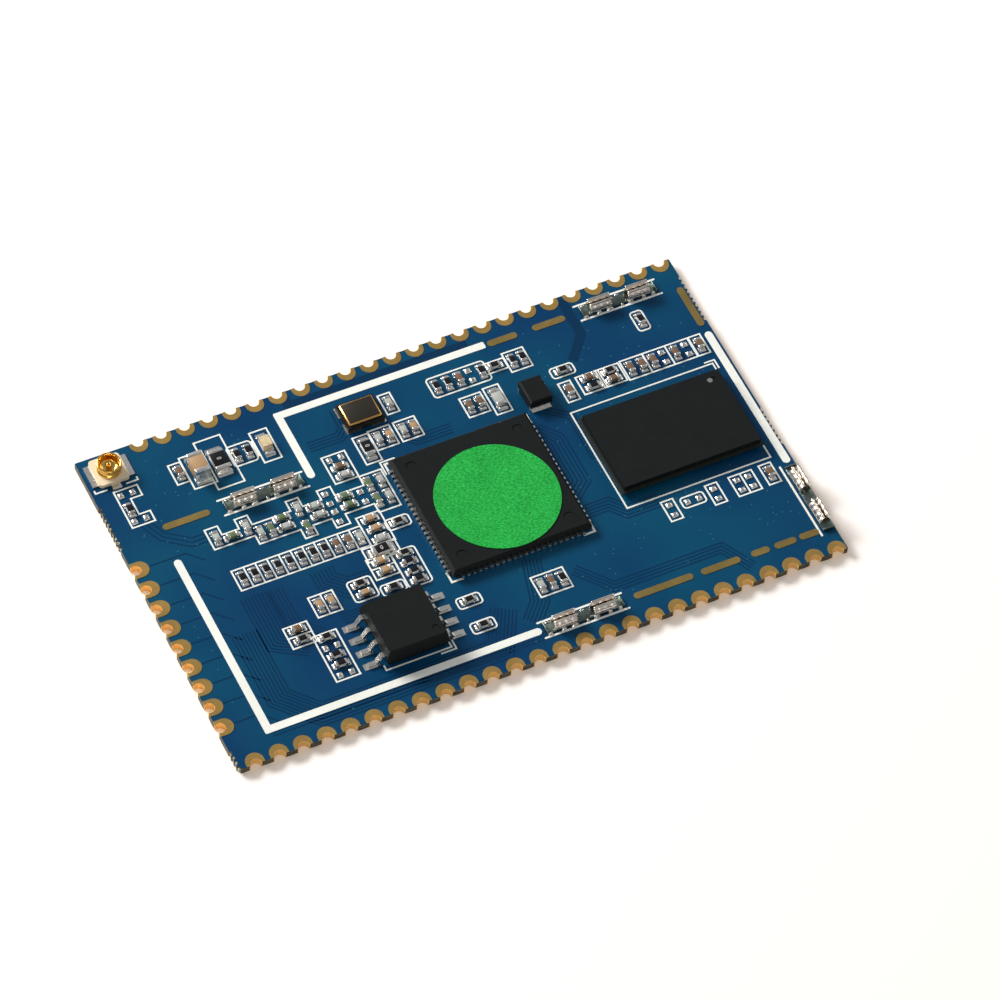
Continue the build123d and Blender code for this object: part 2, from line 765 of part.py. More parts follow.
shell_plane = Plane(origin=(*socket_place, socket_floor), x_dir=(1, 0, 0),
                    z_dir=(0, -1, 0))
shell_height = socket_height - socket_base_height
with BuildPart() as antenna_socket_shell:
    with BuildSketch(shell_plane):
        with BuildLine():
            Polyline((socket_bore_radius, 0), (socket_radius, 0),
                     (socket_radius, socket_foot_height),
                     (socket_neck_radius, socket_foot_height),
                     (socket_neck_radius, shell_height - socket_lip_height),
                     (socket_radius, shell_height - socket_lip_height),
                     (socket_radius, shell_height - socket_lip_bevel),
                     (socket_radius - socket_lip_bevel, shell_height),
                     (socket_bore_radius, shell_height), close=True)
        make_face()
    revolve(axis=Axis((*socket_place, 0), (0, 0, 1)))
finish(antenna_socket_shell, "antenna_socket_shell")

with BuildPart() as antenna_socket_pin:
    with BuildSketch(Plane.XY.offset(socket_floor)):
        with Locations(socket_place):
            Circle(socket_pin_radius)
    extrude(amount=socket_pin_height)
finish(antenna_socket_pin, "antenna_socket_pin")

tab_x = socket_side / 2 + socket_tab_offset + socket_tab_width / 2
signal_tab_y = -socket_side / 2 - signal_tab_reach / 2
with BuildPart() as antenna_socket_tabs:
    with BuildSketch(Plane.XY.offset(board_top)):
        with Locations(socket_place):
            with Locations((-tab_x + socket_tab_offset, 0), (tab_x - socket_tab_offset, 0)):
                Rectangle(socket_tab_width, socket_tab_length)
            with Locations((0, signal_tab_y)):
                Rectangle(signal_tab_width, signal_tab_reach)
    extrude(amount=socket_tab_thickness)
finish(antenna_socket_tabs, "antenna_socket_tabs")

# Power inductor: a moulded block with a metal clip at each end
inductor_spot = spot(inductor_x_share, inductor_y_share, True)
with BuildPart() as power_inductor_body:
    with BuildSketch(Plane.XY.offset(seat)):
        with Locations(inductor_spot):
            Rectangle(inductor_length - 2 * inductor_end_length, inductor_width)
    extrude(amount=inductor_end_height)
    with BuildSketch(Plane.XY.offset(seat + inductor_end_height)):
        with Locations(inductor_spot):
            Rectangle(inductor_length, inductor_width)
    extrude(amount=inductor_height - inductor_end_height)
    chamfer(power_inductor_body.faces().sort_by(Axis.Z)[-1].edges(), inductor_bevel)
finish(power_inductor_body, "power_inductor_body")

with BuildPart() as power_inductor_ends:
    add_chip_pairs([inductor_spot], inductor_length, inductor_end_length,
                   inductor_width, inductor_end_height)
finish(power_inductor_ends, "power_inductor_ends")

# Status lamp: a white base, a clear lens and tinned ends
led_spot = spot(led_x_share, led_y_share, True)
with BuildPart() as status_lamp_base:
    add_chip_middles([led_spot], led_length, led_end_length, led_width, seat,
                     led_base_height)
finish(status_lamp_base, "status_lamp_base")

with BuildPart() as status_lamp_ends:
    add_chip_pairs([led_spot], led_length, led_end_length, led_width, led_base_height)
finish(status_lamp_ends, "status_lamp_ends")

with BuildPart() as status_lamp_lens:
    with BuildSketch(Plane.XY.offset(seat + led_base_height)):
        with Locations(led_spot):
            Rectangle(led_lens_length, led_width)
    extrude(amount=led_lens_height)
finish(status_lamp_lens, "status_lamp_lens")

# Shield clips: each is one strip of sheet with two pairs of arms folded up from it.
# In the local frame X runs along the strip.
clip_places = {name: spot(*row) for name, row in clip_shares.items()}
clip_wall = clip_width / 2 - clip_sheet / 2
for name, place in clip_places.items():
    with BuildPart() as shield_clip:
        with BuildSketch(Plane.XY.offset(board_top)):
            with Locations(place):
                Rectangle(clip_length, clip_width)
        extrude(amount=clip_sheet)
        for side in (-1, 1):
            arm_start = side * clip_arm_centre - clip_arm_length / 2
            arm_plane = Plane(place * Location((arm_start, 0, board_top)))
            section = Plane(origin=arm_plane.origin, x_dir=arm_plane.y_dir,
                            z_dir=arm_plane.x_dir)
            with BuildSketch(section) as arm_section:
                with BuildLine():
                    Polyline((clip_wall, clip_sheet / 2),
                             (clip_wall, clip_wall_height),
                             (clip_pinch_gap + clip_sheet / 2, clip_pinch_height),
                             (clip_lip_gap + clip_sheet / 2, clip_height))
                trace(line_width=clip_sheet)
                mirror(about=Plane.YZ)
            extrude(amount=clip_arm_length)
        end_x = clip_length / 2 - clip_sheet / 2
        with BuildSketch(Plane.XY.offset(board_top)):
            with Locations(place):
                with Locations((-end_x, 0), (end_x, 0)):
                    Rectangle(clip_sheet, clip_width)
        extrude(amount=clip_end_height)
    finish(shield_clip, name)


def add_ring(centre, size, line, corner):
    """A closed printed outline of one line width."""
    with Locations(centre):
        if corner:
            RectangleRounded(size[0] + line, size[1] + line, corner + line / 2)
            RectangleRounded(size[0] - line, size[1] - line, corner - line / 2,
                             mode=Mode.SUBTRACT)
        else:
            Rectangle(size[0] + line, size[1] + line)
            Rectangle(size[0] - line, size[1] - line, mode=Mode.SUBTRACT)


def add_path(points, line, closed=False):
    """A thin printed line through the given points."""
    with BuildLine() as path:
        Polyline(*points, close=closed)
    trace(path.line, line_width=line)


def corner_points(centre, half_x, half_y, arm):
    """An L of two short arms, its corner at half_x and half_y from the centre."""
    inward_x = -arm if half_x > 0 else arm
    inward_y = -arm if half_y > 0 else arm
    corner = (centre[0] + half_x, centre[1] + half_y)
    return [(corner[0] + inward_x, corner[1]), corner, (corner[0], corner[1] + inward_y)]


# Thin white lines: chip outlines, pin one marks and the clip borders
with BuildPart() as printed_outlines:
    print_plane = Plane.XY.offset(board_top)
    for middle, size, outline, across, cells, depth in row_outlines:
        if outline == "none":
            continue
        with BuildSketch(print_plane):
            add_ring(middle, size, thin_line, outline_corner if outline == "round" else 0)
            if cells:
                with Locations(*cells):
                    Rectangle(thin_line if across else depth, depth if across else thin_line)
        extrude(amount=print_thickness)
    medium_frame = (medium_width + 2 * medium_outline_side,
                    medium_length + 2 * medium_outline_end)
    large_frame = (large_width + 2 * large_outline_side,
                   large_length + 2 * large_outline_end)
    bulk_frame = (large_width + 2 * bulk_outline_side, large_length + 2 * bulk_outline_end)
    led_frame = (led_width + 2 * led_outline_side, led_length + 2 * led_outline_end)
    framed = ([(row, medium_frame) for row in medium_jumper_shares + medium_capacitor_shares]
              + [(row, large_frame) for row in large_jumper_shares]
              + [(row, bulk_frame) for row in bulk_capacitor_shares]
              + [((led_x_share, led_y_share, True), led_frame)])
    for (x_share, y_share, across), frame in framed:
        with BuildSketch(print_plane):
            add_ring((at_x(x_share), at_y(y_share)), frame if across else frame[::-1],
                     thin_line, 0)
        extrude(amount=print_thickness)
    for shares in (filter_outline_shares, matching_outline_shares):
        with BuildSketch(print_plane):
            add_path([(at_x(x), at_y(y)) for x, y in shares], thin_line, True)
        extrude(amount=print_thickness)
    with BuildSketch(print_plane):
        add_ring(memory_place, (memory_length + 2 * memory_outline_gap_x,
                                memory_width + 2 * memory_outline_gap_y), thin_line, 0)
        with Locations((at_x(led_x_share) - led_frame[0] / 2 - led_mark_gap,
                        at_y(led_y_share))):
            Rectangle(led_mark_width, led_length)
    extrude(amount=print_thickness)
    processor_reach = processor_half + processor_corner_gap
    with BuildSketch(print_plane):
        for side_x in (-1, 1):
            for side_y in (-1, 1):
                add_path(corner_points(processor_place, side_x * processor_reach,
                                       side_y * processor_reach, processor_corner_arm),
                         clip_line)
        outer_reach = processor_reach + pin_mark_step
        add_path(corner_points(processor_place, -outer_reach, outer_reach,
                               processor_corner_arm + pin_mark_step), thin_line)
        add_path(corner_points(memory_place,
                               memory_length / 2 + memory_outline_gap_x + pin_mark_step,
                               memory_width / 2 + memory_outline_gap_y + pin_mark_step,
                               memory_mark_arm), thin_line)
    extrude(amount=print_thickness)
    bracket_x = socket_side / 2 + socket_tab_width
    bracket_y = -socket_side / 2 - socket_bracket_gap
    with BuildSketch(print_plane):
        for side_x in (-1, 1):
            outer = socket_place[0] + side_x * bracket_x
            low = socket_place[1] + bracket_y
            add_path([(outer, low + socket_bracket_arm), (outer, low),
                      (outer - side_x * socket_bracket_length, low)], thin_line)
    extrude(amount=print_thickness)
    with BuildSketch(print_plane):
        flash_rail_y = flash_side / 2 + thin_line
        flash_low = flash_place[1] - flash_rail_y
        add_path([(flash_place[0] - flash_rail_y, flash_low + flash_outline_arm),
                  (flash_place[0] - flash_rail_y, flash_low),
                  (flash_place[0] + flash_rail_y, flash_low),
                  (flash_place[0] + flash_rail_y, flash_low + flash_outline_arm)], thin_line)
        flash_mark = flash_rail_y + pin_mark_step
        add_path(corner_points(flash_place, flash_mark, -flash_mark, flash_mark_arm),
                 thin_line)
    extrude(amount=print_thickness)
    clip_rail = clip_width / 2 + clip_line_gap
    for place in clip_places.values():
        with BuildSketch(print_plane):
            with Locations(place):
                with Locations((0, clip_rail), (0, -clip_rail)):
                    SlotOverall(clip_length + 2 * clip_line_overrun, clip_line)
            Rectangle(board_length, board_width, mode=Mode.INTERSECT)
        extrude(amount=print_thickness)
finish(printed_outlines, "printed_outlines")
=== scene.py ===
import math
import random
import bmesh
import bpy
from mathutils import Euler, Matrix, Vector


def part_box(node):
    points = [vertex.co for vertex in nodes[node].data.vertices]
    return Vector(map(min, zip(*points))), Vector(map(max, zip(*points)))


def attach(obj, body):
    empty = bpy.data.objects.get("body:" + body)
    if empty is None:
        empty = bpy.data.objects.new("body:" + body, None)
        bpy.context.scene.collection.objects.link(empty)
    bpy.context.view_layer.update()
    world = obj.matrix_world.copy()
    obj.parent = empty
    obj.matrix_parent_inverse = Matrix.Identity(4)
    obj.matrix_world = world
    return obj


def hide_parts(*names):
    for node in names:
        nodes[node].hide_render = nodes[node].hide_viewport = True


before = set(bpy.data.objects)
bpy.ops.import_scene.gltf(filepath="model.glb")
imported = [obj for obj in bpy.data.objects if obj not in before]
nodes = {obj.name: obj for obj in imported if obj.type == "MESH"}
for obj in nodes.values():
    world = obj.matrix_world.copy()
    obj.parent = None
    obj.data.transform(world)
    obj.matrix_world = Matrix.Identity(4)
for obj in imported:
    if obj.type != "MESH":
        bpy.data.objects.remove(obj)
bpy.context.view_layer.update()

# Camera
# A long lens looks down on the module from its front left corner, a little rolled,
# and the module nearly fills the width of the picture.
camera_aim = Vector((0.003051, -0.000711, 0.00065))
camera_distance = 0.45948
camera_azimuth = math.radians(30.153)
camera_elevation = math.radians(53.626)
camera_roll = math.radians(5.525)
camera_lens = 210.714
sensor_width = 36
view_depth = (0.01, 10)

view_turn = Euler((math.pi / 2 - camera_elevation, 0, -camera_azimuth)).to_matrix()
camera_data = bpy.data.cameras.new("photo_camera")
camera_data.sensor_width = sensor_width
camera_data.lens = camera_lens
camera_data.clip_start, camera_data.clip_end = view_depth
camera = bpy.data.objects.new("photo_camera", camera_data)
view_turn = view_turn @ Matrix.Rotation(camera_roll, 3, "Z")
camera.matrix_world = (Matrix.Translation(camera_aim + view_turn @ Vector((0, 0, camera_distance)))
                       @ view_turn.to_4x4())
bpy.context.scene.collection.objects.link(camera)
bpy.context.scene.camera = camera

# Lights
# Three soft boxes: a strong one above and behind the module on the left, and weak ones
# on the right and in front. The world is a pale room, white where the camera sees it.
room_strength = 0.5
seen_strength = 1.0
# Height in the room and colour there
room_foot = (0.02, (0.5, 0.5, 0.5))
room_wall = (0.2, (0.1, 0.11, 0.13))
room_ceiling = (0.55, (0.95, 0.98, 1.0))
room_zenith = (0.98, (0.36, 0.38, 0.42))
# Name, place, size, power and colour
soft_boxes = [
    ("back_soft_box", (-0.3, 0.5, 0.33), (0.4, 0.16), 7.0, (1.0, 0.98, 0.95)),
    ("side_soft_box", (0.5, 0.2, 0.3), (0.25, 0.25), 0.4, (1.0, 0.96, 0.9)),
    ("front_soft_box", (-0.2, -0.5, 0.35), (0.3, 0.2), 0.55, (1.0, 0.95, 0.88)),
]


def add_soft_box(name, place, size, power, colour):
    """A rectangular lamp that looks at the middle of the module."""
    light = bpy.data.lights.new(name, "AREA")
    light.shape = "RECTANGLE"
    light.size = size[0]
    light.size_y = size[1]
    light.energy = power
    light.color = colour
    lamp = bpy.data.objects.new(name, light)
    lamp.location = place
    aim = -Vector(place)
    lamp.rotation_euler = aim.to_track_quat("-Z", "Y").to_euler()
    bpy.context.scene.collection.objects.link(lamp)


def set_ramp(ramp, first, last, *between):
    """Sets the places and colours of a colour ramp: its two ends, then what is between."""
    elements = ramp.color_ramp.elements
    for element, (position, colour) in zip(elements, (first, last)):
        element.position = position
        element.color = (*colour, 1)
    for position, colour in between:
        elements.new(position).color = (*colour, 1)


for soft_box in soft_boxes:
    add_soft_box(*soft_box)

world = bpy.data.worlds.new("pale_room")
bpy.context.scene.world = world
world.use_nodes = True
room = world.node_tree
room.nodes.clear()
room_out = room.nodes.new("ShaderNodeOutputWorld")
room_light = room.nodes.new("ShaderNodeBackground")
room_light.inputs["Strength"].default_value = room_strength
room_place = room.nodes.new("ShaderNodeTexCoord")
room_height = room.nodes.new("ShaderNodeSeparateXYZ")
room_tone = room.nodes.new("ShaderNodeValToRGB")
set_ramp(room_tone, room_foot, room_zenith, room_wall, room_ceiling)
room_seen = room.nodes.new("ShaderNodeBackground")
room_seen.inputs["Strength"].default_value = seen_strength
room_path = room.nodes.new("ShaderNodeLightPath")
room_mix = room.nodes.new("ShaderNodeMixShader")
room.links.new(room_place.outputs["Generated"], room_height.inputs[0])
room.links.new(room_height.outputs["Z"], room_tone.inputs["Fac"])
room.links.new(room_tone.outputs["Color"], room_light.inputs["Color"])
room.links.new(room_path.outputs["Is Camera Ray"], room_mix.inputs["Fac"])
room.links.new(room_light.outputs["Background"], room_mix.inputs[1])
room.links.new(room_seen.outputs["Background"], room_mix.inputs[2])
room.links.new(room_mix.outputs["Shader"], room_out.inputs["Surface"])
bpy.context.scene.view_settings.view_transform = "Standard"

# Table
# A plain white sheet under the module. It shows a soft shadow, and a warm glow that only the
# camera sees is painted on the sheet: it gives the shadow its warm tone and makes the sheet white
# wherever the lamps reach it.
shadow_tint_glow = (0.16, 0.1, 0.05, 1)
table_white = (0.9, 0.9, 0.9, 1)
table_half = 2.0
table_drop = 0.00002
table_data = bpy.data.meshes.new("table")
table_corners = [(-table_half, -table_half, -table_drop), (table_half, -table_half, -table_drop),
                 (table_half, table_half, -table_drop), (-table_half, table_half, -table_drop)]
table_data.from_pydata(table_corners, [], [(0, 1, 2, 3)])
table = bpy.data.objects.new("table", table_data)
bpy.context.scene.collection.objects.link(table)


def new_material(name):
    """A material that is empty but for its output, with its tree and that node."""
    material = bpy.data.materials.new(name)
    material.use_nodes = True
    tree = material.node_tree
    tree.nodes.clear()
    output = tree.nodes.new("ShaderNodeOutputMaterial")
    return material, tree, output


table_paint, tree, output = new_material("table_sheet")
# Painted shadow tint: a warm glow for camera rays only, the tone of the shadow.
glow = tree.nodes.new("ShaderNodeEmission")
glow.inputs["Color"].default_value = shadow_tint_glow
sheet = tree.nodes.new("ShaderNodeBsdfDiffuse")
sheet.inputs["Color"].default_value = table_white
both = tree.nodes.new("ShaderNodeAddShader")
seen = tree.nodes.new("ShaderNodeMixShader")
path = tree.nodes.new("ShaderNodeLightPath")
tree.links.new(glow.outputs[0], both.inputs[0])
tree.links.new(sheet.outputs[0], both.inputs[1])
tree.links.new(path.outputs["Is Camera Ray"], seen.inputs["Fac"])
tree.links.new(sheet.outputs[0], seen.inputs[1])
tree.links.new(both.outputs[0], seen.inputs[2])
tree.links.new(seen.outputs[0], output.inputs["Surface"])
table_data.materials.append(table_paint)

# Board
# Glass fibre laminate, pressed with copper and covered in blue lacquer above and
# below. Its sawn and torn edges show the bare olive brown fibre.
lacquer_blue = (0.0, 0.06, 0.125)
lacquer_navy = (0.0, 0.036, 0.11)
fibre_brown = (0.05, 0.036, 0.022)
fibre_pale = (0.17, 0.145, 0.09)
board_low, board_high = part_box("circuit_board")
board_length = board_high.x - board_low.x
board_width = board_high.y - board_low.y
board_top = board_high.z
grain_height = 0.00002
noise_middle = 0.5
broad_noise_share = 0.12
level_limit = 0.5
lacquer_patch_scale = 90
fibre_scale = 1800
fibre_squeeze = (1, 1, 6)


def add_group(name, inputs, outputs):
    """An empty shader group with named sockets, and its two end nodes."""
    group = bpy.data.node_groups.new(name, "ShaderNodeTree")
    for label, kind, value in inputs:
        socket = group.interface.new_socket(label, in_out="INPUT", socket_type=kind)
        socket.default_value = value
    for label, kind in outputs:
        group.interface.new_socket(label, in_out="OUTPUT", socket_type=kind)
    return group, group.nodes.new("NodeGroupInput"), group.nodes.new("NodeGroupOutput")


# The grain that every finish shares makes small changes of tone, gloss and height.
grain_group, g_in, g_out = add_group(
    "surface_grain",
    [("Colour", "NodeSocketColor", (0.5, 0.5, 0.5, 1)), ("Scale", "NodeSocketFloat", 4000.0),
     ("Tone Change", "NodeSocketFloat", 0.1), ("Roughness", "NodeSocketFloat", 0.5),
     ("Gloss Change", "NodeSocketFloat", 0.1), ("Bump", "NodeSocketFloat", 0.2)],
    [("Colour", "NodeSocketColor"), ("Roughness", "NodeSocketFloat"),
     ("Normal", "NodeSocketVector")])
links = grain_group.links
place = grain_group.nodes.new("ShaderNodeTexCoord")
fine = grain_group.nodes.new("ShaderNodeTexNoise")
fine.inputs["Detail"].default_value = 4
links.new(place.outputs["Object"], fine.inputs["Vector"])
links.new(g_in.outputs["Scale"], fine.inputs["Scale"])
broad = grain_group.nodes.new("ShaderNodeTexNoise")
broad.inputs["Detail"].default_value = 2
links.new(place.outputs["Object"], broad.inputs["Vector"])
broad_scale = grain_group.nodes.new("ShaderNodeMath")
broad_scale.operation = "MULTIPLY"
broad_scale.inputs[1].default_value = broad_noise_share
links.new(g_in.outputs["Scale"], broad_scale.inputs[0])
links.new(broad_scale.outputs[0], broad.inputs["Scale"])


def centred(source, amount):
    """The noise minus one half, times an amount."""
    shift = grain_group.nodes.new("ShaderNodeMath")
    shift.operation = "SUBTRACT"
    shift.inputs[1].default_value = noise_middle
    links.new(source, shift.inputs[0])
    size = grain_group.nodes.new("ShaderNodeMath")
    size.operation = "MULTIPLY"
    links.new(shift.outputs[0], size.inputs[0])
    links.new(amount, size.inputs[1])
    return size.outputs[0]


def total(first, second):
    """The sum of an output and a number or another output."""
    add = grain_group.nodes.new("ShaderNodeMath")
    add.operation = "ADD"
    links.new(first, add.inputs[0])
    if isinstance(second, float):
        add.inputs[1].default_value = second
    else:
        links.new(second, add.inputs[1])
    return add.outputs[0]


tone = total(total(centred(fine.outputs["Fac"], g_in.outputs["Tone Change"]),
                   centred(broad.outputs["Fac"], g_in.outputs["Tone Change"])), 1.0)
shade = grain_group.nodes.new("ShaderNodeVectorMath")
shade.operation = "SCALE"
links.new(g_in.outputs["Colour"], shade.inputs[0])
links.new(tone, shade.inputs["Scale"])
links.new(shade.outputs[0], g_out.inputs["Colour"])
links.new(total(g_in.outputs["Roughness"],
                centred(broad.outputs["Fac"], g_in.outputs["Gloss Change"])),
          g_out.inputs["Roughness"])
bump = grain_group.nodes.new("ShaderNodeBump")
bump.inputs["Distance"].default_value = grain_height
links.new(g_in.outputs["Bump"], bump.inputs["Strength"])
links.new(fine.outputs["Fac"], bump.inputs["Height"])
links.new(bump.outputs["Normal"], g_out.inputs["Normal"])


def grained(name, colour, scale=4000.0, tone_change=0.15, roughness=0.5, gloss_change=0.15,
            bump_strength=0.25, metallic=0.0, specular=0.5):
    """A finish made of the shared grain: every surface of the module starts from it."""
    material, tree, output = new_material(name)
    skin = tree.nodes.new("ShaderNodeBsdfPrincipled")
    skin.inputs["Metallic"].default_value = metallic
    skin.inputs["Specular IOR Level"].default_value = specular
    grain = tree.nodes.new("ShaderNodeGroup")
    grain.node_tree = grain_group
    grain.name = "grain"
    grain.inputs["Colour"].default_value = (*colour, 1)
    grain.inputs["Scale"].default_value = scale
    grain.inputs["Tone Change"].default_value = tone_change
    grain.inputs["Roughness"].default_value = roughness
    grain.inputs["Gloss Change"].default_value = gloss_change
    grain.inputs["Bump"].default_value = bump_strength
    tree.links.new(grain.outputs["Colour"], skin.inputs["Base Color"])
    tree.links.new(grain.outputs["Roughness"], skin.inputs["Roughness"])
    tree.links.new(grain.outputs["Normal"], skin.inputs["Normal"])
    tree.links.new(skin.outputs["BSDF"], output.inputs["Surface"])
    return material


def paint(material, *names):
    """Gives CAD nodes a finish in place of their plain one."""
    for name in names:
        mesh = nodes[name].data
        mesh.materials.clear()
        mesh.materials.append(material)


def level_faces(tree):
    """A mask: one on faces that look up or down, nought on upright walls."""
    coords = tree.nodes.new("ShaderNodeTexCoord")
    facing = tree.nodes.new("ShaderNodeSeparateXYZ")
    tree.links.new(coords.outputs["Normal"], facing.inputs[0])
    upright = tree.nodes.new("ShaderNodeMath")
    upright.operation = "ABSOLUTE"
    tree.links.new(facing.outputs["Z"], upright.inputs[0])
    level = tree.nodes.new("ShaderNodeMath")
    level.operation = "GREATER_THAN"
    level.inputs[1].default_value = level_limit
    tree.links.new(upright.outputs[0], level.inputs[0])
    return level


board_paint = grained("lacquered_board", lacquer_blue, scale=2500, tone_change=0.1,
                      roughness=0.4, gloss_change=0.12, bump_strength=0.12, specular=0.15)
tree = board_paint.node_tree
grain = tree.nodes["grain"]
coords = tree.nodes.new("ShaderNodeTexCoord")
level = level_faces(tree)
patch = tree.nodes.new("ShaderNodeTexNoise")
patch.inputs["Scale"].default_value = lacquer_patch_scale
patch.inputs["Detail"].default_value = 1
tree.links.new(coords.outputs["Object"], patch.inputs["Vector"])
patch_ramp = tree.nodes.new("ShaderNodeValToRGB")
set_ramp(patch_ramp, (0.35, lacquer_navy), (0.65, lacquer_blue))
tree.links.new(patch.outputs["Fac"], patch_ramp.inputs["Fac"])
fibre = tree.nodes.new("ShaderNodeTexNoise")
fibre.inputs["Scale"].default_value = fibre_scale
fibre.inputs["Detail"].default_value = 3
fibre_turn = tree.nodes.new("ShaderNodeMapping")
fibre_turn.inputs["Scale"].default_value = fibre_squeeze
tree.links.new(coords.outputs["Object"], fibre_turn.inputs["Vector"])
tree.links.new(fibre_turn.outputs["Vector"], fibre.inputs["Vector"])
fibre_ramp = tree.nodes.new("ShaderNodeValToRGB")
set_ramp(fibre_ramp, (0.4, fibre_brown), (0.72, fibre_pale))
tree.links.new(fibre.outputs["Fac"], fibre_ramp.inputs["Fac"])
faces_mix = tree.nodes.new("ShaderNodeMix")
faces_mix.data_type = "RGBA"
tree.links.new(level.outputs[0], faces_mix.inputs["Factor"])
tree.links.new(fibre_ramp.outputs["Color"], faces_mix.inputs["A"])
tree.links.new(patch_ramp.outputs["Color"], faces_mix.inputs["B"])
tree.links.new(faces_mix.outputs["Result"], grain.inputs["Colour"])
paint(board_paint, "circuit_board")

# Copper lines
# Etched copper runs under the lacquer, where it shows as slightly raised, darker lines.
# Each bundle is a row of like lines with mitred bends, placed by shares of the board.
line_width = 0.00012
line_rise = 0.000006
line_shade = (0.0, 0.026, 0.075)
mitre_limit = 0.5
# Number of lines, their pitch, and the course of the first line
line_bundles = [
    (8, 0.00029, [(0.46, 0.19), (0.43, 0.1), (0.16, 0.1), (0.125, 0.165), (0.125, 0.36)]),
    (6, 0.00029, [(0.54, 0.29), (0.52, 0.17), (0.495, 0.125)]),
    (5, 0.0003, [(0.168, 0.45), (0.168, 0.33), (0.2, 0.27), (0.2, 0.21)]),
    (7, 0.00031, [(0.24, 0.46), (0.24, 0.41), (0.275, 0.355), (0.33, 0.355)]),
    (4, 0.0003, [(0.86, 0.05), (0.83, 0.14), (0.65, 0.14), (0.61, 0.22)]),
    (5, 0.0003, [(0.665, 0.34), (0.7, 0.34), (0.72, 0.3), (0.78, 0.3)]),
    (6, 0.00032, [(0.67, 0.4), (0.7, 0.44), (0.7, 0.6), (0.675, 0.65)]),
    (3, 0.0004, [(0.044, 0.76), (0.06, 0.7), (0.1, 0.65), (0.125, 0.65)]),
    (4, 0.0003, [(0.44, 0.74), (0.47, 0.74), (0.49, 0.715), (0.55, 0.715)]),
    (3, 0.00032, [(0.07, 0.056), (0.3, 0.056), (0.33, 0.05), (0.62, 0.05)]),
    (4, 0.0003, [(0.335, 0.8), (0.39, 0.8), (0.41, 0.83), (0.41, 0.9)]),
    (9, 0.00029, [(0.2, 0.3), (0.17, 0.33), (0.17, 0.455)]),
    (5, 0.0003, [(0.25, 0.28), (0.29, 0.28), (0.31, 0.25), (0.31, 0.12)]),
    (3, 0.0003, [(0.69, 0.68), (0.72, 0.64), (0.72, 0.5)]),
]
wide_bands = [
    [(0.81, 0.99), (0.81, 0.87), (0.775, 0.8)],
    [(0.34, 0.985), (0.34, 0.955), (0.64, 0.955)],
]
band_width = 0.0008
# The left contacts' own lines: how far each runs before it turns down to the bus
contact_run = 0.0021
contact_drop = 0.0012
contact_start = 2 * contact_run / 3
weld = 0.0000001
place_digits = 6


def on_board(share_x, share_y):
    """The place on the board at the given shares of its length and width."""
    return Vector((board_low.x + share_x * board_length, board_low.y + share_y * board_width))


def beside(course, distance):
    """The course moved sideways by a distance, mitred at its bends."""
    moved = []
    for k, point in enumerate(course):
        before = (point - course[k - 1]).normalized() if k else None
        after = (course[k + 1] - point).normalized() if k < len(course) - 1 else before
        before = before or after
        bisector = (before + after).normalized()
        normal = Vector((-bisector.y, bisector.x))
        mitre = max(mitre_limit, normal.dot(Vector((-after.y, after.x))))
        moved.append(point + normal * distance / mitre)
    return moved


def add_line(shape, course, width):
    """A flat band along the course, just above the lacquer."""
    left = beside(course, width / 2)
    right = beside(course, -width / 2)
    height = board_top + line_rise
    rows = [(shape.verts.new((*a, height)), shape.verts.new((*b, height)))
            for a, b in zip(left, right)]
    for near, far in zip(rows, rows[1:]):
        shape.faces.new((near[0], near[1], far[1], far[0]))


def island_boxes(name):
    """Centre and size of each separate solid of a node, in a steady order."""
    cloud = bmesh.new()
    cloud.from_mesh(nodes[name].data)
    bmesh.ops.remove_doubles(cloud, verts=cloud.verts, dist=weld)
    cloud.verts.index_update()
    seen = set()
    boxes = []
    for first in cloud.verts:
        if first.index in seen:
            continue
        seen.add(first.index)
        waiting = [first]
        corners = []
        while waiting:
            vert = waiting.pop()
            corners.append(vert.co.copy())
            for link in vert.link_edges:
                other = link.other_vert(vert)
                if other.index not in seen:
                    seen.add(other.index)
                    waiting.append(other)
        low = Vector([min(axis) for axis in zip(*corners)])
        high = Vector([max(axis) for axis in zip(*corners)])
        boxes.append(((low + high) / 2, high - low))
    cloud.free()
    return sorted(boxes, key=lambda box: (round(box[0].x, place_digits),
                                          round(box[0].y, place_digits)))


def finished(shape, name):
    """A smooth mesh from the shape, with its faces pointing outwards."""
    bmesh.ops.recalc_face_normals(shape, faces=shape.faces)
    for face in shape.faces:
        face.smooth = True
    mesh = bpy.data.meshes.new(name)
    shape.to_mesh(mesh)
    shape.free()
    return mesh


def add_piece(name, mesh, material, slot, *replaced):
    """Links a finished mesh as a piece of the module, on its one body."""
    piece = bpy.data.objects.new(name, mesh)
    bpy.context.scene.collection.objects.link(piece)
    mesh.materials.clear()
    mesh.materials.append(material)
    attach(piece, "root")
    if replaced:
        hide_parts(*replaced)


line_paint = grained("covered_copper", line_shade, scale=2500, tone_change=0.1,
                     roughness=0.4, gloss_change=0.12, bump_strength=0.1, specular=0.15)
lines = bmesh.new()
for count, pitch, shares in line_bundles:
    course = [on_board(*share) for share in shares]
    for k in range(count):
        add_line(lines, beside(course, k * pitch), line_width)
for shares in wide_bands:
    add_line(lines, [on_board(*share) for share in shares], band_width)
contact_rows = sorted(centre.y for centre, size in island_boxes("edge_contacts_left"))
for k, contact_y in enumerate(contact_rows):
    start = Vector((board_low.x + contact_start, contact_y))
    turn_at = start + Vector((contact_run + k * line_width, 0))
    add_line(lines, [start, turn_at, turn_at + Vector((contact_drop, -contact_drop))],
             line_width)
add_piece("copper_lines", finished(lines, "copper_lines"), line_paint, "lacquered_board")

# Vias
# Plated holes that join the copper layers, filled and covered by the lacquer. They are
# scattered over the free lacquer, clear of every other piece.
via_radius = 0.00007
via_sides = 10
via_count = 130
via_margin = 0.0003
via_rise = 2 * line_rise
via_field_shares = ((0.04, 0.97), (0.05, 0.95))
scatter_seed = 7


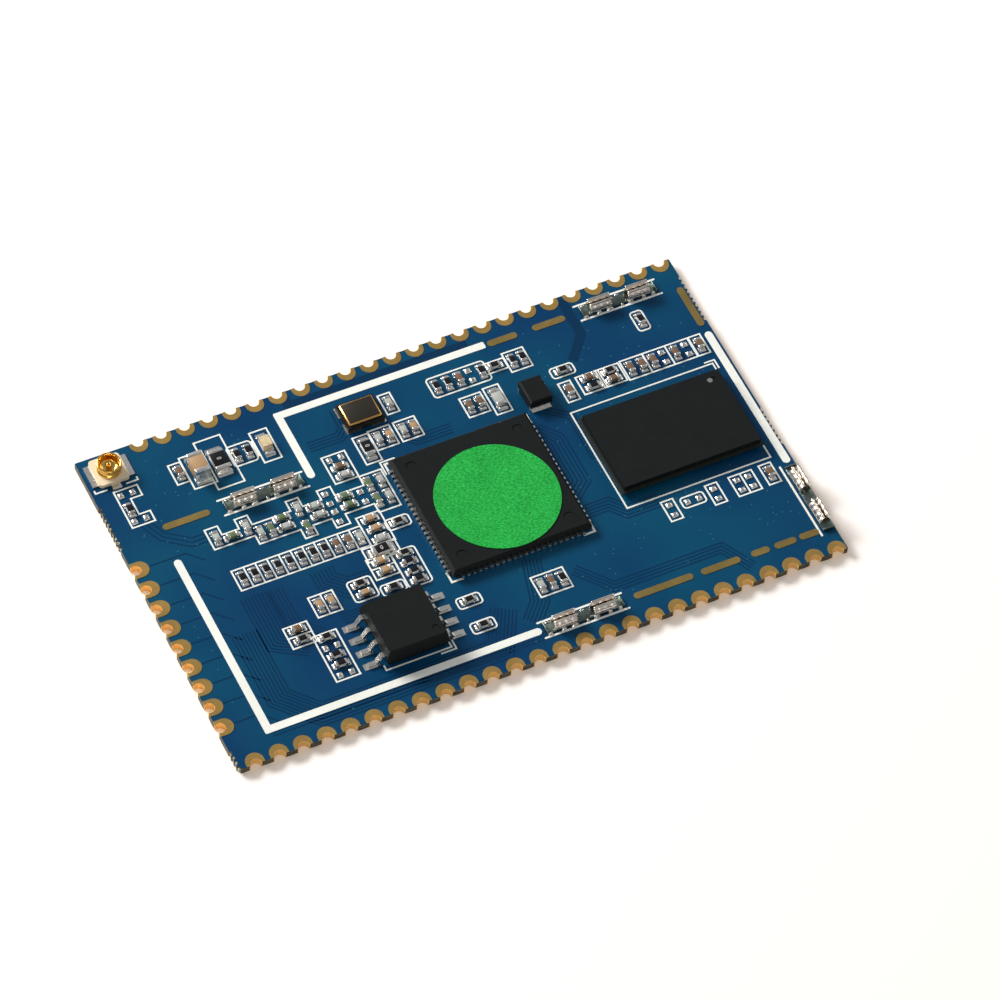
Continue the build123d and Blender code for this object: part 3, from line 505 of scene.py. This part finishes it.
# A node tree sets copies of a pattern on points, each with its own turn and a little
# wander and twist.
set_out_group = bpy.data.node_groups.new("set_out_on_board", "GeometryNodeTree")
face = set_out_group.interface
face.new_socket("Geometry", in_out="INPUT", socket_type="NodeSocketGeometry")
input_ids = {}
for label, kind in (("Pattern", "NodeSocketObject"), ("Finish", "NodeSocketMaterial"),
                    ("Seed", "NodeSocketInt"), ("Wander", "NodeSocketFloat"),
                    ("Twist", "NodeSocketFloat")):
    input_ids[label] = face.new_socket(label, in_out="INPUT", socket_type=kind).identifier
face.new_socket("Geometry", in_out="OUTPUT", socket_type="NodeSocketGeometry")
place_in = set_out_group.nodes.new("NodeGroupInput")
place_out = set_out_group.nodes.new("NodeGroupOutput")
pattern_info = set_out_group.nodes.new("GeometryNodeObjectInfo")
turn_value = set_out_group.nodes.new("GeometryNodeInputNamedAttribute")
turn_value.data_type = "FLOAT"
turn_value.inputs["Name"].default_value = "turn"
twist_value = set_out_group.nodes.new("FunctionNodeRandomValue")
twist_value.data_type = "FLOAT"
twist_low = set_out_group.nodes.new("ShaderNodeMath")
twist_low.operation = "MULTIPLY"
twist_low.inputs[1].default_value = -1
twist_sum = set_out_group.nodes.new("ShaderNodeMath")
twist_vector = set_out_group.nodes.new("ShaderNodeCombineXYZ")
twist_rotation = set_out_group.nodes.new("FunctionNodeEulerToRotation")
wander_value = set_out_group.nodes.new("FunctionNodeRandomValue")
wander_value.data_type = "FLOAT_VECTOR"
wander_value.inputs["Min"].default_value = (-1, -1, 0)
wander_value.inputs["Max"].default_value = (1, 1, 0)
wander_scale = set_out_group.nodes.new("ShaderNodeVectorMath")
wander_scale.operation = "SCALE"
shifted = set_out_group.nodes.new("GeometryNodeSetPosition")
standing = set_out_group.nodes.new("GeometryNodeInstanceOnPoints")
realized = set_out_group.nodes.new("GeometryNodeRealizeInstances")
dressed = set_out_group.nodes.new("GeometryNodeSetMaterial")
join = set_out_group.links.new
join(place_in.outputs["Pattern"], pattern_info.inputs["Object"])
join(place_in.outputs["Twist"], twist_low.inputs[0])
join(twist_low.outputs[0], twist_value.inputs[2])
join(place_in.outputs["Twist"], twist_value.inputs[3])
join(place_in.outputs["Seed"], twist_value.inputs["Seed"])
join(turn_value.outputs["Attribute"], twist_sum.inputs[0])
join(twist_value.outputs[1], twist_sum.inputs[1])
join(twist_sum.outputs[0], twist_vector.inputs["Z"])
join(twist_vector.outputs[0], twist_rotation.inputs[0])
join(place_in.outputs["Seed"], wander_value.inputs["Seed"])
join(wander_value.outputs[0], wander_scale.inputs[0])
join(place_in.outputs["Wander"], wander_scale.inputs["Scale"])
join(place_in.outputs["Geometry"], shifted.inputs["Geometry"])
join(wander_scale.outputs[0], shifted.inputs["Offset"])
join(shifted.outputs[0], standing.inputs["Points"])
join(pattern_info.outputs["Geometry"], standing.inputs["Instance"])
join(twist_rotation.outputs[0], standing.inputs["Rotation"])
join(standing.outputs[0], realized.inputs[0])
join(realized.outputs[0], dressed.inputs["Geometry"])
join(place_in.outputs["Finish"], dressed.inputs["Material"])
join(dressed.outputs[0], place_out.inputs[0])


def set_out(pattern_mesh, places, material, seed=1, wander=0.0, twist=0.0):
    """Copies of a pattern on the given places and turns, as one plain mesh."""
    points = bpy.data.meshes.new("places")
    points.from_pydata([spot for spot, turn in places], [], [])
    turns = points.attributes.new("turn", "FLOAT", "POINT")
    for value, (spot, turn) in zip(turns.data, places):
        value.value = turn
    stand = bpy.data.objects.new("places", points)
    pattern = bpy.data.objects.new("pattern", pattern_mesh)
    for thing in (stand, pattern):
        bpy.context.scene.collection.objects.link(thing)
    setter = stand.modifiers.new("set_out", "NODES")
    setter.node_group = set_out_group
    for label, value in (("Pattern", pattern), ("Finish", material), ("Seed", seed),
                         ("Wander", wander), ("Twist", twist)):
        setter[input_ids[label]] = value
    ready = stand.evaluated_get(bpy.context.evaluated_depsgraph_get())
    mesh = bpy.data.meshes.new_from_object(ready)
    bpy.data.objects.remove(stand)
    bpy.data.objects.remove(pattern)
    return mesh


via_paint = grained("covered_via", (0.01, 0.11, 0.19), roughness=0.3)
taken = [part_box(name) for name in ("processor_body", "memory_substrate", "flash_body",
                                   "crystal_base", "antenna_socket_base")]
for name in ("chip_lands", "ground_strips", "edge_contacts_front", "edge_contacts_back",
             "edge_contacts_left", "printed_frame", "shield_clip_front",
             "shield_clip_back_left", "shield_clip_back_right", "shield_clip_right"):
    taken += [(centre - size / 2, centre + size / 2) for centre, size in island_boxes(name)]
chance = random.Random(scatter_seed)
vias = []
while len(vias) < via_count:
    spot = on_board(*(chance.uniform(*shares) for shares in via_field_shares))
    clear = all(not (low.x - via_margin < spot.x < high.x + via_margin
                     and low.y - via_margin < spot.y < high.y + via_margin)
                for low, high in taken)
    if clear:
        vias.append(((spot.x, spot.y, board_top + via_rise), 0.0))
dot = bmesh.new()
bmesh.ops.create_circle(dot, cap_ends=True, segments=via_sides, radius=via_radius)
via_mesh = set_out(finished(dot, "via"), vias, via_paint)
add_piece("covered_vias", via_mesh, via_paint, "lacquered_board")

# Torn tabs
# The board was broken from its panel at four drilled tabs on its short edges. Pale
# glass fibres stand in the notches that are left.
fleck_size = (0.00017, 0.00021, 0.00034)
fleck_pitch = 0.00017
fleck_bevel = 0.00004
fleck_reach_shares = (0.6, 1.2)
fleck_twist = 0.2
# End of the board, and where each stretch starts and stops, as shares of the width
tab_stretches = [(0, 0.005, 0.065), (0, 0.716, 0.845), (1, 0.79, 0.945), (1, 0.36, 0.475)]


def add_block(shape, size, centre, bevel):
    """A block with rounded edges, added to the shape."""
    made = bmesh.ops.create_cube(shape, size=1)["verts"]
    bmesh.ops.scale(shape, vec=size, verts=made)
    bmesh.ops.translate(shape, vec=centre, verts=made)
    edges = list({edge for vert in made for edge in vert.link_edges})
    bmesh.ops.bevel(shape, geom=edges, offset=bevel, segments=2, profile=0.5,
                    affect="EDGES")


flecks = []
for end, start, stop in tab_stretches:
    inward = 1 if end == 0 else -1
    edge_x = board_low.x if end == 0 else board_high.x
    steps = int((stop - start) * board_width / fleck_pitch)
    for k in range(steps):
        flecks.append(((edge_x + inward * chance.uniform(*fleck_reach_shares) * fleck_size[0],
                        board_low.y + start * board_width + k * fleck_pitch,
                        chance.uniform(0, 1) * (board_top - fleck_size[2])),
                       chance.uniform(-fleck_twist, fleck_twist)))
fleck_paint = grained("torn_fibre", (0.42, 0.4, 0.27), scale=9000, tone_change=1.6,
                      roughness=0.8, bump_strength=1.0)
fleck = bmesh.new()
add_block(fleck, fleck_size, (0, 0, fleck_size[2] / 2), fleck_bevel)
fleck_mesh = set_out(finished(fleck, "fleck"), flecks, fleck_paint)
add_piece("torn_fibres", fleck_mesh, fleck_paint, "lacquered_board")

# Edge contacts
# Half holes along three edges, each with a land above and below. They are plated with gold over
# nickel. The one gold is painted bright on the walls and dull on the lands: a painted highlight
# and painted shade.
wall_gold_painted_highlight = (1.0, 0.6, 0.19)
land_gold_painted_shade = (0.36, 0.225, 0.06)
gold_paint = grained("gold_plate", (0.34, 0.22, 0.065), scale=5000, tone_change=0.35,
                     roughness=0.4, gloss_change=0.2, bump_strength=0.5, metallic=0.45)
tree = gold_paint.node_tree
# Painted highlight on the upright walls and painted shade on the level lands, chosen by which way
# each face looks.
gold_mix = tree.nodes.new("ShaderNodeMix")
gold_mix.data_type = "RGBA"
gold_mix.inputs["A"].default_value = (*wall_gold_painted_highlight, 1)
gold_mix.inputs["B"].default_value = (*land_gold_painted_shade, 1)
tree.links.new(level_faces(tree).outputs[0], gold_mix.inputs["Factor"])
tree.links.new(gold_mix.outputs["Result"], tree.nodes["grain"].inputs["Colour"])
paint(gold_paint, "edge_contacts_front", "edge_contacts_back", "edge_contacts_left")

# Ground strips
# Bare strips of copper between the parts and the edge contacts, plated with gold as the
# contacts are. They have a duller, stronger grain.
strip_paint = grained("gold_strip", (0.27, 0.19, 0.06), scale=5000, tone_change=0.4,
                      roughness=0.5, gloss_change=0.2, bump_strength=0.6, metallic=0.75)
paint(strip_paint, "ground_strips")

# Tinned lands and leads
# Solder wets every land, and tin covers the leads and the ends of the larger parts. It
# is bright and a little lumpy, as it froze.
tin_paint = grained("tinned_metal", (0.86, 0.83, 0.78), scale=4200, tone_change=0.3,
                    roughness=0.24, gloss_change=0.25, bump_strength=0.9, metallic=1.0)
paint(tin_paint, "chip_lands", "processor_leads", "processor_lead_tips", "memory_balls",
      "flash_leads", "antenna_socket_tabs", "power_inductor_ends", "status_lamp_ends")

# Print
# White ink screened on the lacquer: the wide lines of the frame and the thin outlines
# around the parts. It is a little uneven.
print_paint = grained("white_print", (0.82, 0.83, 0.77), scale=3500, tone_change=0.16,
                      roughness=0.7, bump_strength=0.4)
paint(print_paint, "printed_frame", "printed_outlines")

# Chips
# Ceramic slabs of a few colours between tinned caps, where the resistors wear black
# glass. A curved slope of solder holds each cap to its land, and it is the brightest
# thing on the board.
ceramic_white = grained("white_ceramic", (0.72, 0.71, 0.68), roughness=0.6)
glass_black = grained("black_glass", (0.008, 0.008, 0.01), roughness=0.3, specular=0.25)
ceramic_tan = grained("tan_ceramic", (0.42, 0.26, 0.13), roughness=0.45)
ceramic_brown = grained("brown_ceramic", (0.16, 0.09, 0.05), roughness=0.45)
ceramic_grey = grained("grey_ceramic", (0.42, 0.43, 0.4), roughness=0.45)
ceramic_green = grained("green_ceramic", (0.1, 0.15, 0.07), roughness=0.45)
cap_bevel = 0.00004
body_bevel = cap_bevel / 2
coat_bevel = cap_bevel / 5
body_shrink = 0.00003
solder_reach = 0.00024
solder_climb = 0.7
solder_spread = 0.00004
coat_rise = 0.000015
coat_overlap = 0.00011
chip_wander = 0.00003
chip_twist = 0.035
resistor_seed = 3
capacitor_seed = 11
large_chip_seed = 21
lamp_seed = 1


def joined(name, meshes):
    """One mesh of all the given meshes."""
    whole = bmesh.new()
    for mesh in meshes:
        whole.from_mesh(mesh)
    result = bpy.data.meshes.new(name)
    whole.to_mesh(result)
    whole.free()
    return result


def add_patch(shape, height_at, x_range, y_range, steps=8):
    """A small smooth surface over a rectangle, its height given by a function."""
    grid = []
    for i in range(steps + 1):
        row = []
        for j in range(steps + 1):
            along = i / steps
            across = 2 * j / steps - 1
            row.append(shape.verts.new((x_range[0] + (x_range[1] - x_range[0]) * along,
                                        y_range[0] + (y_range[1] - y_range[0]) * j / steps,
                                        height_at(along, across))))
        grid.append(row)
    for i in range(steps):
        for j in range(steps):
            shape.faces.new((grid[i][j], grid[i + 1][j], grid[i + 1][j + 1], grid[i][j + 1]))


def chip_sites(body_node, ends):
    """Place and turn of the chips of a node, grouped by the sizes of their case."""
    sites = {}
    for centre, size in island_boxes(body_node):
        end_centre, end_size = min(ends, key=lambda end: (end[0].xy - centre.xy).length)
        reach = end_centre - centre
        across = abs(reach.y) > abs(reach.x)
        long_way, wide_way = (1, 0) if across else (0, 1)
        case = tuple(round(value, place_digits) for value in
                     (size[long_way], size[wide_way], end_size[long_way], end_size.z))
        seat = end_centre.z - end_size.z / 2
        sites.setdefault(case, []).append(((centre.x, centre.y, seat),
                                           math.pi / 2 if across else 0.0))
    return sites


def dress_chips(body_node, ends, body_paint, seed, coated=False):
    """Meshes of the bodies, caps, solder and coats of all the chips of a node."""
    made = {"body": [], "caps": [], "solder": [], "coat": []}
    for case, places in chip_sites(body_node, ends).items():
        middle, width, end_length, height = case
        half = middle / 2 + end_length
        body = bmesh.new()
        add_block(body, (middle + end_length, width - body_shrink, height - body_shrink),
                  (0, 0, (height - body_shrink) / 2), body_bevel)
        caps = bmesh.new()
        solder = bmesh.new()
        for side in (-1, 1):
            add_block(caps, (end_length, width, height),
                      (side * (half - end_length / 2), 0, height / 2), cap_bevel)
            rise = height * solder_climb
            add_patch(solder,
                      lambda along, across: rise * (1 - along) ** 2 * (1 - across ** 6),
                      (side * (half - body_shrink), side * (half + solder_reach)),
                      (-width / 2 - solder_spread, width / 2 + solder_spread))
        layout = dict(seed=seed, wander=chip_wander, twist=chip_twist)
        made["body"].append(set_out(finished(body, "body"), places, body_paint, **layout))
        made["caps"].append(set_out(finished(caps, "caps"), places, tin_paint, **layout))
        made["solder"].append(set_out(finished(solder, "solder"), places, tin_paint,
                                      **layout))
        if coated:
            coat = bmesh.new()
            add_block(coat, (middle + coat_overlap, width - body_shrink, body_shrink),
                      (0, 0, height - coat_rise), coat_bevel)
            made["coat"].append(set_out(finished(coat, "coat"), places, glass_black,
                                        **layout))
    return made


resistor_ends = island_boxes("resistor_ends")
resistor_set = dress_chips("resistor_bodies", resistor_ends, ceramic_white, resistor_seed,
                          True)
add_piece("resistor_slabs", joined("slabs", resistor_set["body"]), ceramic_white,
          "white_ceramic", "resistor_bodies")
add_piece("resistor_caps", joined("caps", resistor_set["caps"]), tin_paint, "solder",
          "resistor_ends")
add_piece("resistor_glass", joined("glass", resistor_set["coat"]), glass_black,
          "black_glass", "resistor_coats")
solder_meshes = resistor_set["solder"]
capacitor_ends = island_boxes("capacitor_ends")
cap_meshes = []
for seed, (node, finish_paint, slot) in enumerate((
        ("tan_capacitor_bodies", ceramic_tan, "tan_ceramic"),
        ("brown_capacitor_bodies", ceramic_brown, "brown_ceramic"),
        ("grey_capacitor_bodies", ceramic_grey, "grey_ceramic")), capacitor_seed):
    chip_set = dress_chips(node, capacitor_ends, finish_paint, seed)
    add_piece(node + "_rounded", joined(node, chip_set["body"]), finish_paint, slot, node)
    cap_meshes += chip_set["caps"]
    solder_meshes += chip_set["solder"]
add_piece("capacitor_caps", joined("caps", cap_meshes), tin_paint, "solder",
          "capacitor_ends")
for node, ends, finish_paint, slot in (
        ("filter_inductor_bodies", "filter_inductor_ends", ceramic_green, "green_ceramic"),
        ("bulk_capacitor_body", "bulk_capacitor_ends", ceramic_tan, "tan_ceramic")):
    chip_set = dress_chips(node, island_boxes(ends), finish_paint, large_chip_seed)
    add_piece(node + "_rounded", joined(node, chip_set["body"]), finish_paint, slot, node)
    add_piece(ends + "_rounded", joined(ends, chip_set["caps"]), tin_paint, "solder", ends)
    solder_meshes += chip_set["solder"]
lamp_ends = island_boxes("status_lamp_ends")
lamp_set = dress_chips("status_lamp_base", lamp_ends, ceramic_white, lamp_seed)
solder_meshes += lamp_set["solder"]

# Bare pads carry a low dome of solder, where no chip or lead stands on them.
pad_dome = 0.00013
standing_on = [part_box(name) for name in ("crystal_base", "power_inductor_body")]
for name in ("resistor_ends", "capacitor_ends", "filter_inductor_ends", "flash_leads",
             "bulk_capacitor_ends", "status_lamp_ends"):
    standing_on += [(centre - size / 2, centre + size / 2)
                    for centre, size in island_boxes(name)]
domes = {}
for centre, size in island_boxes("chip_lands"):
    low, high = centre - size / 2, centre + size / 2
    if all(low.x > other_high.x or high.x < other_low.x
           or low.y > other_high.y or high.y < other_low.y
           for other_low, other_high in standing_on):
        case = (round(size.x, place_digits), round(size.y, place_digits))
        domes.setdefault(case, []).append(((centre.x, centre.y, high.z), 0.0))
for case, places in domes.items():
    dome = bmesh.new()
    add_patch(dome, lambda along, across: pad_dome * (1 - (2 * along - 1) ** 4)
              * (1 - across ** 4), (-case[0] / 2, case[0] / 2), (-case[1] / 2, case[1] / 2))
    solder_meshes.append(set_out(finished(dome, "dome"), places, tin_paint))
add_piece("solder_slopes", joined("solder", solder_meshes), tin_paint, "solder")

# A plain nought is printed on the larger jumpers, the only figures on the module.
nought_half_size = (0.0001, 0.00019)
nought_line = 0.000045
nought_steps = 28
nought_paint = grained("pale_print", (0.6, 0.6, 0.56), roughness=0.7)
nought_places = []
resistor_sites = chip_sites("resistor_bodies", resistor_ends)
small_width = min(case[1] for case in resistor_sites)
for case, places in resistor_sites.items():
    middle, width, end_length, height = case
    if width > small_width + body_shrink:
        nought_places += [((spot[0], spot[1], spot[2] + height + coat_rise), turn)
                          for spot, turn in places]
nought = bmesh.new()
rims = []
for inset in (0, nought_line):
    rim = []
    for k in range(nought_steps):
        angle = 2 * math.pi * k / nought_steps
        rim.append(nought.verts.new(((nought_half_size[0] - inset) * math.cos(angle),
                                     (nought_half_size[1] - inset) * math.sin(angle), 0)))
    rims.append(rim)
for k in range(nought_steps):
    after = (k + 1) % nought_steps
    nought.faces.new((rims[0][k], rims[0][after], rims[1][after], rims[1][k]))
nought_mesh = set_out(finished(nought, "nought"), nought_places, nought_paint)
add_piece("jumper_noughts", nought_mesh, nought_paint, "white_print")

# Moulded packages
# The processor, the memory, the flash memory and the power inductor are moulded in black
# epoxy with a fine matte skin. The memory stands on a thin dark laminate.
moulding_black = grained("black_moulding", (0.007, 0.009, 0.009), scale=6000, roughness=0.5,
                         bump_strength=0.5, specular=0.14)
laminate_grey = grained("package_laminate", (0.02, 0.024, 0.02), roughness=0.5, specular=0.2)
paint(moulding_black, "processor_body", "memory_mould", "flash_body", "power_inductor_body")
paint(laminate_grey, "memory_substrate")

# Label
# A round sticker of bright green foil paper on the processor, finely crinkled where it was pressed
# down. The light and shade of the crinkles are painted into its green as pale and deep tones from
# a stretched noise.
crinkle_painted_highlight = (0.03, 0.5, 0.09)
crinkle_painted_shade = (0.0, 0.25, 0.02)
crinkle_scale = 4300
crinkle_turn = (0, 0, 0.5)
crinkle_stretch = (1, 2.2, 1)
label_paint = grained("green_label", (0.0, 0.36, 0.035), scale=crinkle_scale,
                      tone_change=0.4, roughness=0.45, bump_strength=1.0, specular=0.25)
tree = label_paint.node_tree
label_place = tree.nodes.new("ShaderNodeTexCoord")
label_turn = tree.nodes.new("ShaderNodeMapping")
label_turn.inputs["Rotation"].default_value = crinkle_turn
label_turn.inputs["Scale"].default_value = crinkle_stretch
crinkle = tree.nodes.new("ShaderNodeTexNoise")
crinkle.inputs["Scale"].default_value = crinkle_scale
crinkle.inputs["Detail"].default_value = 3
# Painted highlight and painted shade of the crinkles.
crinkle_light_and_shade = tree.nodes.new("ShaderNodeValToRGB")
set_ramp(crinkle_light_and_shade, (0.36, crinkle_painted_shade), (0.68, crinkle_painted_highlight))
tree.links.new(label_place.outputs["Object"], label_turn.inputs["Vector"])
tree.links.new(label_turn.outputs["Vector"], crinkle.inputs["Vector"])
tree.links.new(crinkle.outputs["Fac"], crinkle_light_and_shade.inputs["Fac"])
tree.links.new(crinkle_light_and_shade.outputs["Color"], tree.nodes["grain"].inputs["Colour"])
paint(label_paint, "processor_label")

# Crystal
# A dark ceramic tray, closed by a metal lid. The lid's edge is bright brass, and its
# middle is dark and slightly raised.
lid_bevel = 0.00012
lid_rim = 0.00024
cover_thickness = lid_rim / 4
cover_sink = lid_rim / 12
cover_bevel = lid_rim / 24
ceramic_dark = grained("dark_ceramic", (0.012, 0.011, 0.01), roughness=0.5, specular=0.2)
lid_paint = grained("lid_metal", (0.03, 0.027, 0.02), scale=3000, roughness=0.45,
                    metallic=0.3, specular=0.2)
brass_paint = grained("brass_rim", (0.75, 0.42, 0.13), scale=3000, roughness=0.3,
                      metallic=1.0, bump_strength=0.4)
paint(ceramic_dark, "crystal_base")
lid_low, lid_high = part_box("crystal_lid")
lid_size = lid_high - lid_low
lid_middle = (lid_low + lid_high) / 2
rim = bmesh.new()
add_block(rim, lid_size, lid_middle, lid_bevel)
add_piece("crystal_rim", finished(rim, "rim"), brass_paint, "lid_metal", "crystal_lid")
cover = bmesh.new()
add_block(cover, (lid_size.x - lid_rim, lid_size.y - lid_rim, cover_thickness),
          (lid_middle.x, lid_middle.y, lid_high.z - cover_sink), cover_bevel)
add_piece("crystal_cover", finished(cover, "cover"), lid_paint, "lid_metal")

# Status lamp
# A clear lens over a white ceramic base, with a tinned end on each side. The lens shows
# the warm tone of what it holds.
lens_paint = grained("clear_lens", (0.62, 0.5, 0.3), scale=2600, tone_change=1.3,
                     roughness=0.15)
paint(ceramic_white, "status_lamp_base")
paint(lens_paint, "status_lamp_lens")

# Antenna socket
# A turned gilt shell with a foot, a neck and a rounded lip, on a cream moulding. Its
# inside falls to a shallow cone, from which the hollow centre pin stands.
shell_sides = 72
pin_sides = 32
cream_paint = grained("cream_moulding", (0.8, 0.67, 0.47), roughness=0.45,
                      bump_strength=0.2)
bright_gold = grained("bright_gold", (0.9, 0.55, 0.14), roughness=0.18, metallic=1.0,
                      bump_strength=0.1)
paint(cream_paint, "antenna_socket_base")
shell_low, shell_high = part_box("antenna_socket_shell")
shell_centre = Vector(((shell_low.x + shell_high.x) / 2, (shell_low.y + shell_high.y) / 2,
                       shell_low.z))
shell_radius = (shell_high.x - shell_low.x) / 2
shell_height = shell_high.z - shell_low.z
# Radius and height as shares of the shell's own, up the outside and down the inside
shell_shares = [(1, 0), (1, 0.2), (0.9, 0.25), (0.87, 0.32), (0.87, 0.6), (0.92, 0.66),
                (0.98, 0.7), (1, 0.76), (1, 0.92), (0.97, 0.98), (0.92, 1), (0.87, 0.98),
                (0.82, 0.9), (0.79, 0.75), (0.77, 0.35), (0.7, 0.22), (0.4, 0.1), (0, 0.08)]


def turned(profile, centre, name, sides):
    """A lathe turned piece: the profile lists radius and height from its outside in."""
    shape = bmesh.new()
    rings = []
    for radius, height in profile:
        ring = []
        for k in range(sides):
            angle = 2 * math.pi * k / sides
            ring.append(shape.verts.new((centre.x + radius * math.cos(angle),
                                         centre.y + radius * math.sin(angle),
                                         centre.z + height)))
        rings.append(ring)
    for low, high in zip(rings, rings[1:]):
        for k in range(sides):
            after = (k + 1) % sides
            shape.faces.new((low[k], low[after], high[after], high[k]))
    shape.faces.new(rings[-1])
    return finished(shape, name)


shell_mesh = turned([(radius * shell_radius, height * shell_height)
                     for radius, height in shell_shares], shell_centre, "shell",
                    shell_sides)
add_piece("socket_shell_turned", shell_mesh, bright_gold, "gold_plate",
          "antenna_socket_shell")
pin_low, pin_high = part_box("antenna_socket_pin")
pin_centre = Vector((shell_centre.x, shell_centre.y, pin_low.z))
pin_radius = (pin_high.x - pin_low.x) / 2
pin_height = pin_high.z - pin_low.z
pin_shares = [(1, 0), (1, 0.86), (0.8, 0.97), (0.6, 1), (0.42, 0.98), (0.36, 0.7), (0, 0.66)]
pin_mesh = turned([(radius * pin_radius, height * pin_height)
                   for radius, height in pin_shares], pin_centre, "pin", pin_sides)
add_piece("socket_pin_turned", pin_mesh, bright_gold, "gold_plate", "antenna_socket_pin")

# Shield clips
# A strip of spring sheet with two pairs of leaves folded up from it. The leaves lean together,
# pinch and flare out again, and are embossed with small waves. The strip is the same sheet,
# painted dark grey as painted shade under and between the leaves.
clip_nodes = ("shield_clip_back_left", "shield_clip_back_right", "shield_clip_front",
              "shield_clip_right")
clip_low, clip_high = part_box("shield_clip_front")
clip_length = clip_high.x - clip_low.x
clip_half_width = (clip_high.y - clip_low.y) / 2
clip_rise = clip_high.z - clip_low.z
clip_sheet = 0.00013
strip_bevel = clip_sheet / 4
end_tab_height = clip_rise / 3
arm_middle = 0.0017
arm_half = 0.00096
arm_steps = 26
wave_size = 0.00002
wave_count = 3.5
# Centre line of one leaf, as shares of half the clip's width and of its height
leaf_shares = [(0.86, 0.08), (0.87, 0.26), (0.85, 0.44), (0.68, 0.6), (0.42, 0.7),
               (0.26, 0.78), (0.24, 0.86), (0.4, 0.98), (0.72, 1.1)]
spring_paint = grained("spring_sheet", (0.92, 0.82, 0.72), scale=2200, tone_change=0.5,
                       roughness=0.26, gloss_change=0.3, bump_strength=1.0, metallic=1.0)
# Painted shade: the strip is the leaves' own sheet, painted dark.
strip_painted_shade = grained("shaded_strip_sheet", (0.16, 0.2, 0.18), scale=2200, tone_change=1.0,
                     roughness=0.3, gloss_change=0.3, bump_strength=1.0, metallic=0.9)


def sweep(shape, loops):
    """Skin over a row of closed loops, with a face at each end."""
    rings = [[shape.verts.new(point) for point in loop] for loop in loops]
    for near, far in zip(rings, rings[1:]):
        for k in range(len(near)):
            after = (k + 1) % len(near)
            shape.faces.new((near[k], near[after], far[after], far[k]))
    shape.faces.new(rings[0])
    shape.faces.new(rings[-1][::-1])


def leaf_loop(x, side, wave):
    """The closed section of one leaf at a place along the clip."""
    line = [Vector((side * across * clip_half_width, up * clip_rise))
            for across, up in leaf_shares]
    outer, inner = [], []
    for k, point in enumerate(line):
        run = line[min(k + 1, len(line) - 1)] - line[max(k - 1, 0)]
        normal = Vector((run.y, -run.x)).normalized() * side
        middle = point + normal * wave * math.sin(math.pi * k / (len(line) - 1))
        outer.append(middle + normal * clip_sheet / 2)
        inner.append(middle - normal * clip_sheet / 2)
    return [(x, spot.x, spot.y) for spot in outer + inner[::-1]]


clip_strip = bmesh.new()
add_block(clip_strip, (clip_length, 2 * clip_half_width, clip_sheet),
          (0, 0, clip_sheet / 2), strip_bevel)
for end in (-1, 1):
    add_block(clip_strip, (clip_sheet, 2 * clip_half_width, end_tab_height),
              (end * (clip_length - clip_sheet) / 2, 0, end_tab_height / 2), strip_bevel)
clip_shape = bmesh.new()
for middle in (-arm_middle, arm_middle):
    for side in (-1, 1):
        loops = []
        for k in range(arm_steps + 1):
            share = 2 * k / arm_steps - 1
            wave = wave_size * math.sin(math.pi * wave_count * share)
            loops.append(leaf_loop(middle + arm_half * share, side, wave))
        sweep(clip_shape, loops)
clip_places = []
for name in clip_nodes:
    low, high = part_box(name)
    across = high.y - low.y > high.x - low.x
    clip_places.append((((low.x + high.x) / 2, (low.y + high.y) / 2, low.z),
                        math.pi / 2 if across else 0.0))
clip_mesh = set_out(finished(clip_shape, "clip"), clip_places, spring_paint)
add_piece("shield_clips_folded", clip_mesh, spring_paint, "spring_sheet", *clip_nodes)
strip_mesh = set_out(finished(clip_strip, "strip"), clip_places, strip_painted_shade)
add_piece("shield_clip_strips", strip_mesh, strip_painted_shade, "spring_sheet")

# Uneven lumps of solder hold the strips. The right clip, on the board's edge, goes
# without them, so that none hangs over the edge.
lump_count = 7
lump_half = 0.00017
lump_height = 0.00026
lump_width_shares = (0.8, 1.9)
lump_height_shares = (0.5, 1.1)
lump_steps = 6
lumps = bmesh.new()
for side in (-1, 1):
    for k in range(lump_count):
        x = (k / (lump_count - 1) - 0.5) * (clip_length - 4 * lump_half)
        x += chance.uniform(-1, 1) * lump_half
        half = lump_half * chance.uniform(*lump_width_shares)
        rise = lump_height * chance.uniform(*lump_height_shares)
        edge_y = side * clip_half_width
        add_patch(lumps, lambda along, across: rise * (1 - (2 * along - 1) ** 4)
                  * (1 - across ** 2),
                  (x - half, x + half), (edge_y - lump_half, edge_y + lump_half / 2),
                  lump_steps)
lump_mesh = set_out(finished(lumps, "lumps"), clip_places[:3], tin_paint)
add_piece("clip_solder", lump_mesh, tin_paint, "solder")

# Printed dot on the memory
# A small round mark of faded pale ink on the moulding shows where the memory's first
# ball is.
dot_inset = (0.0011, 0.0008)
dot_radius = 0.00022
dot_sides = 24
mould_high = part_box("memory_mould")[1]
dot_print = bmesh.new()
bmesh.ops.create_circle(dot_print, cap_ends=True, segments=dot_sides, radius=dot_radius)
dot_place = (mould_high.x - dot_inset[0], mould_high.y - dot_inset[1],
             mould_high.z + line_rise)
dot_paint = grained("faded_print", (0.16, 0.17, 0.15), roughness=0.7)
add_piece("memory_dot", set_out(finished(dot_print, "dot"), [(dot_place, 0.0)], dot_paint),
          dot_paint, "white_print")
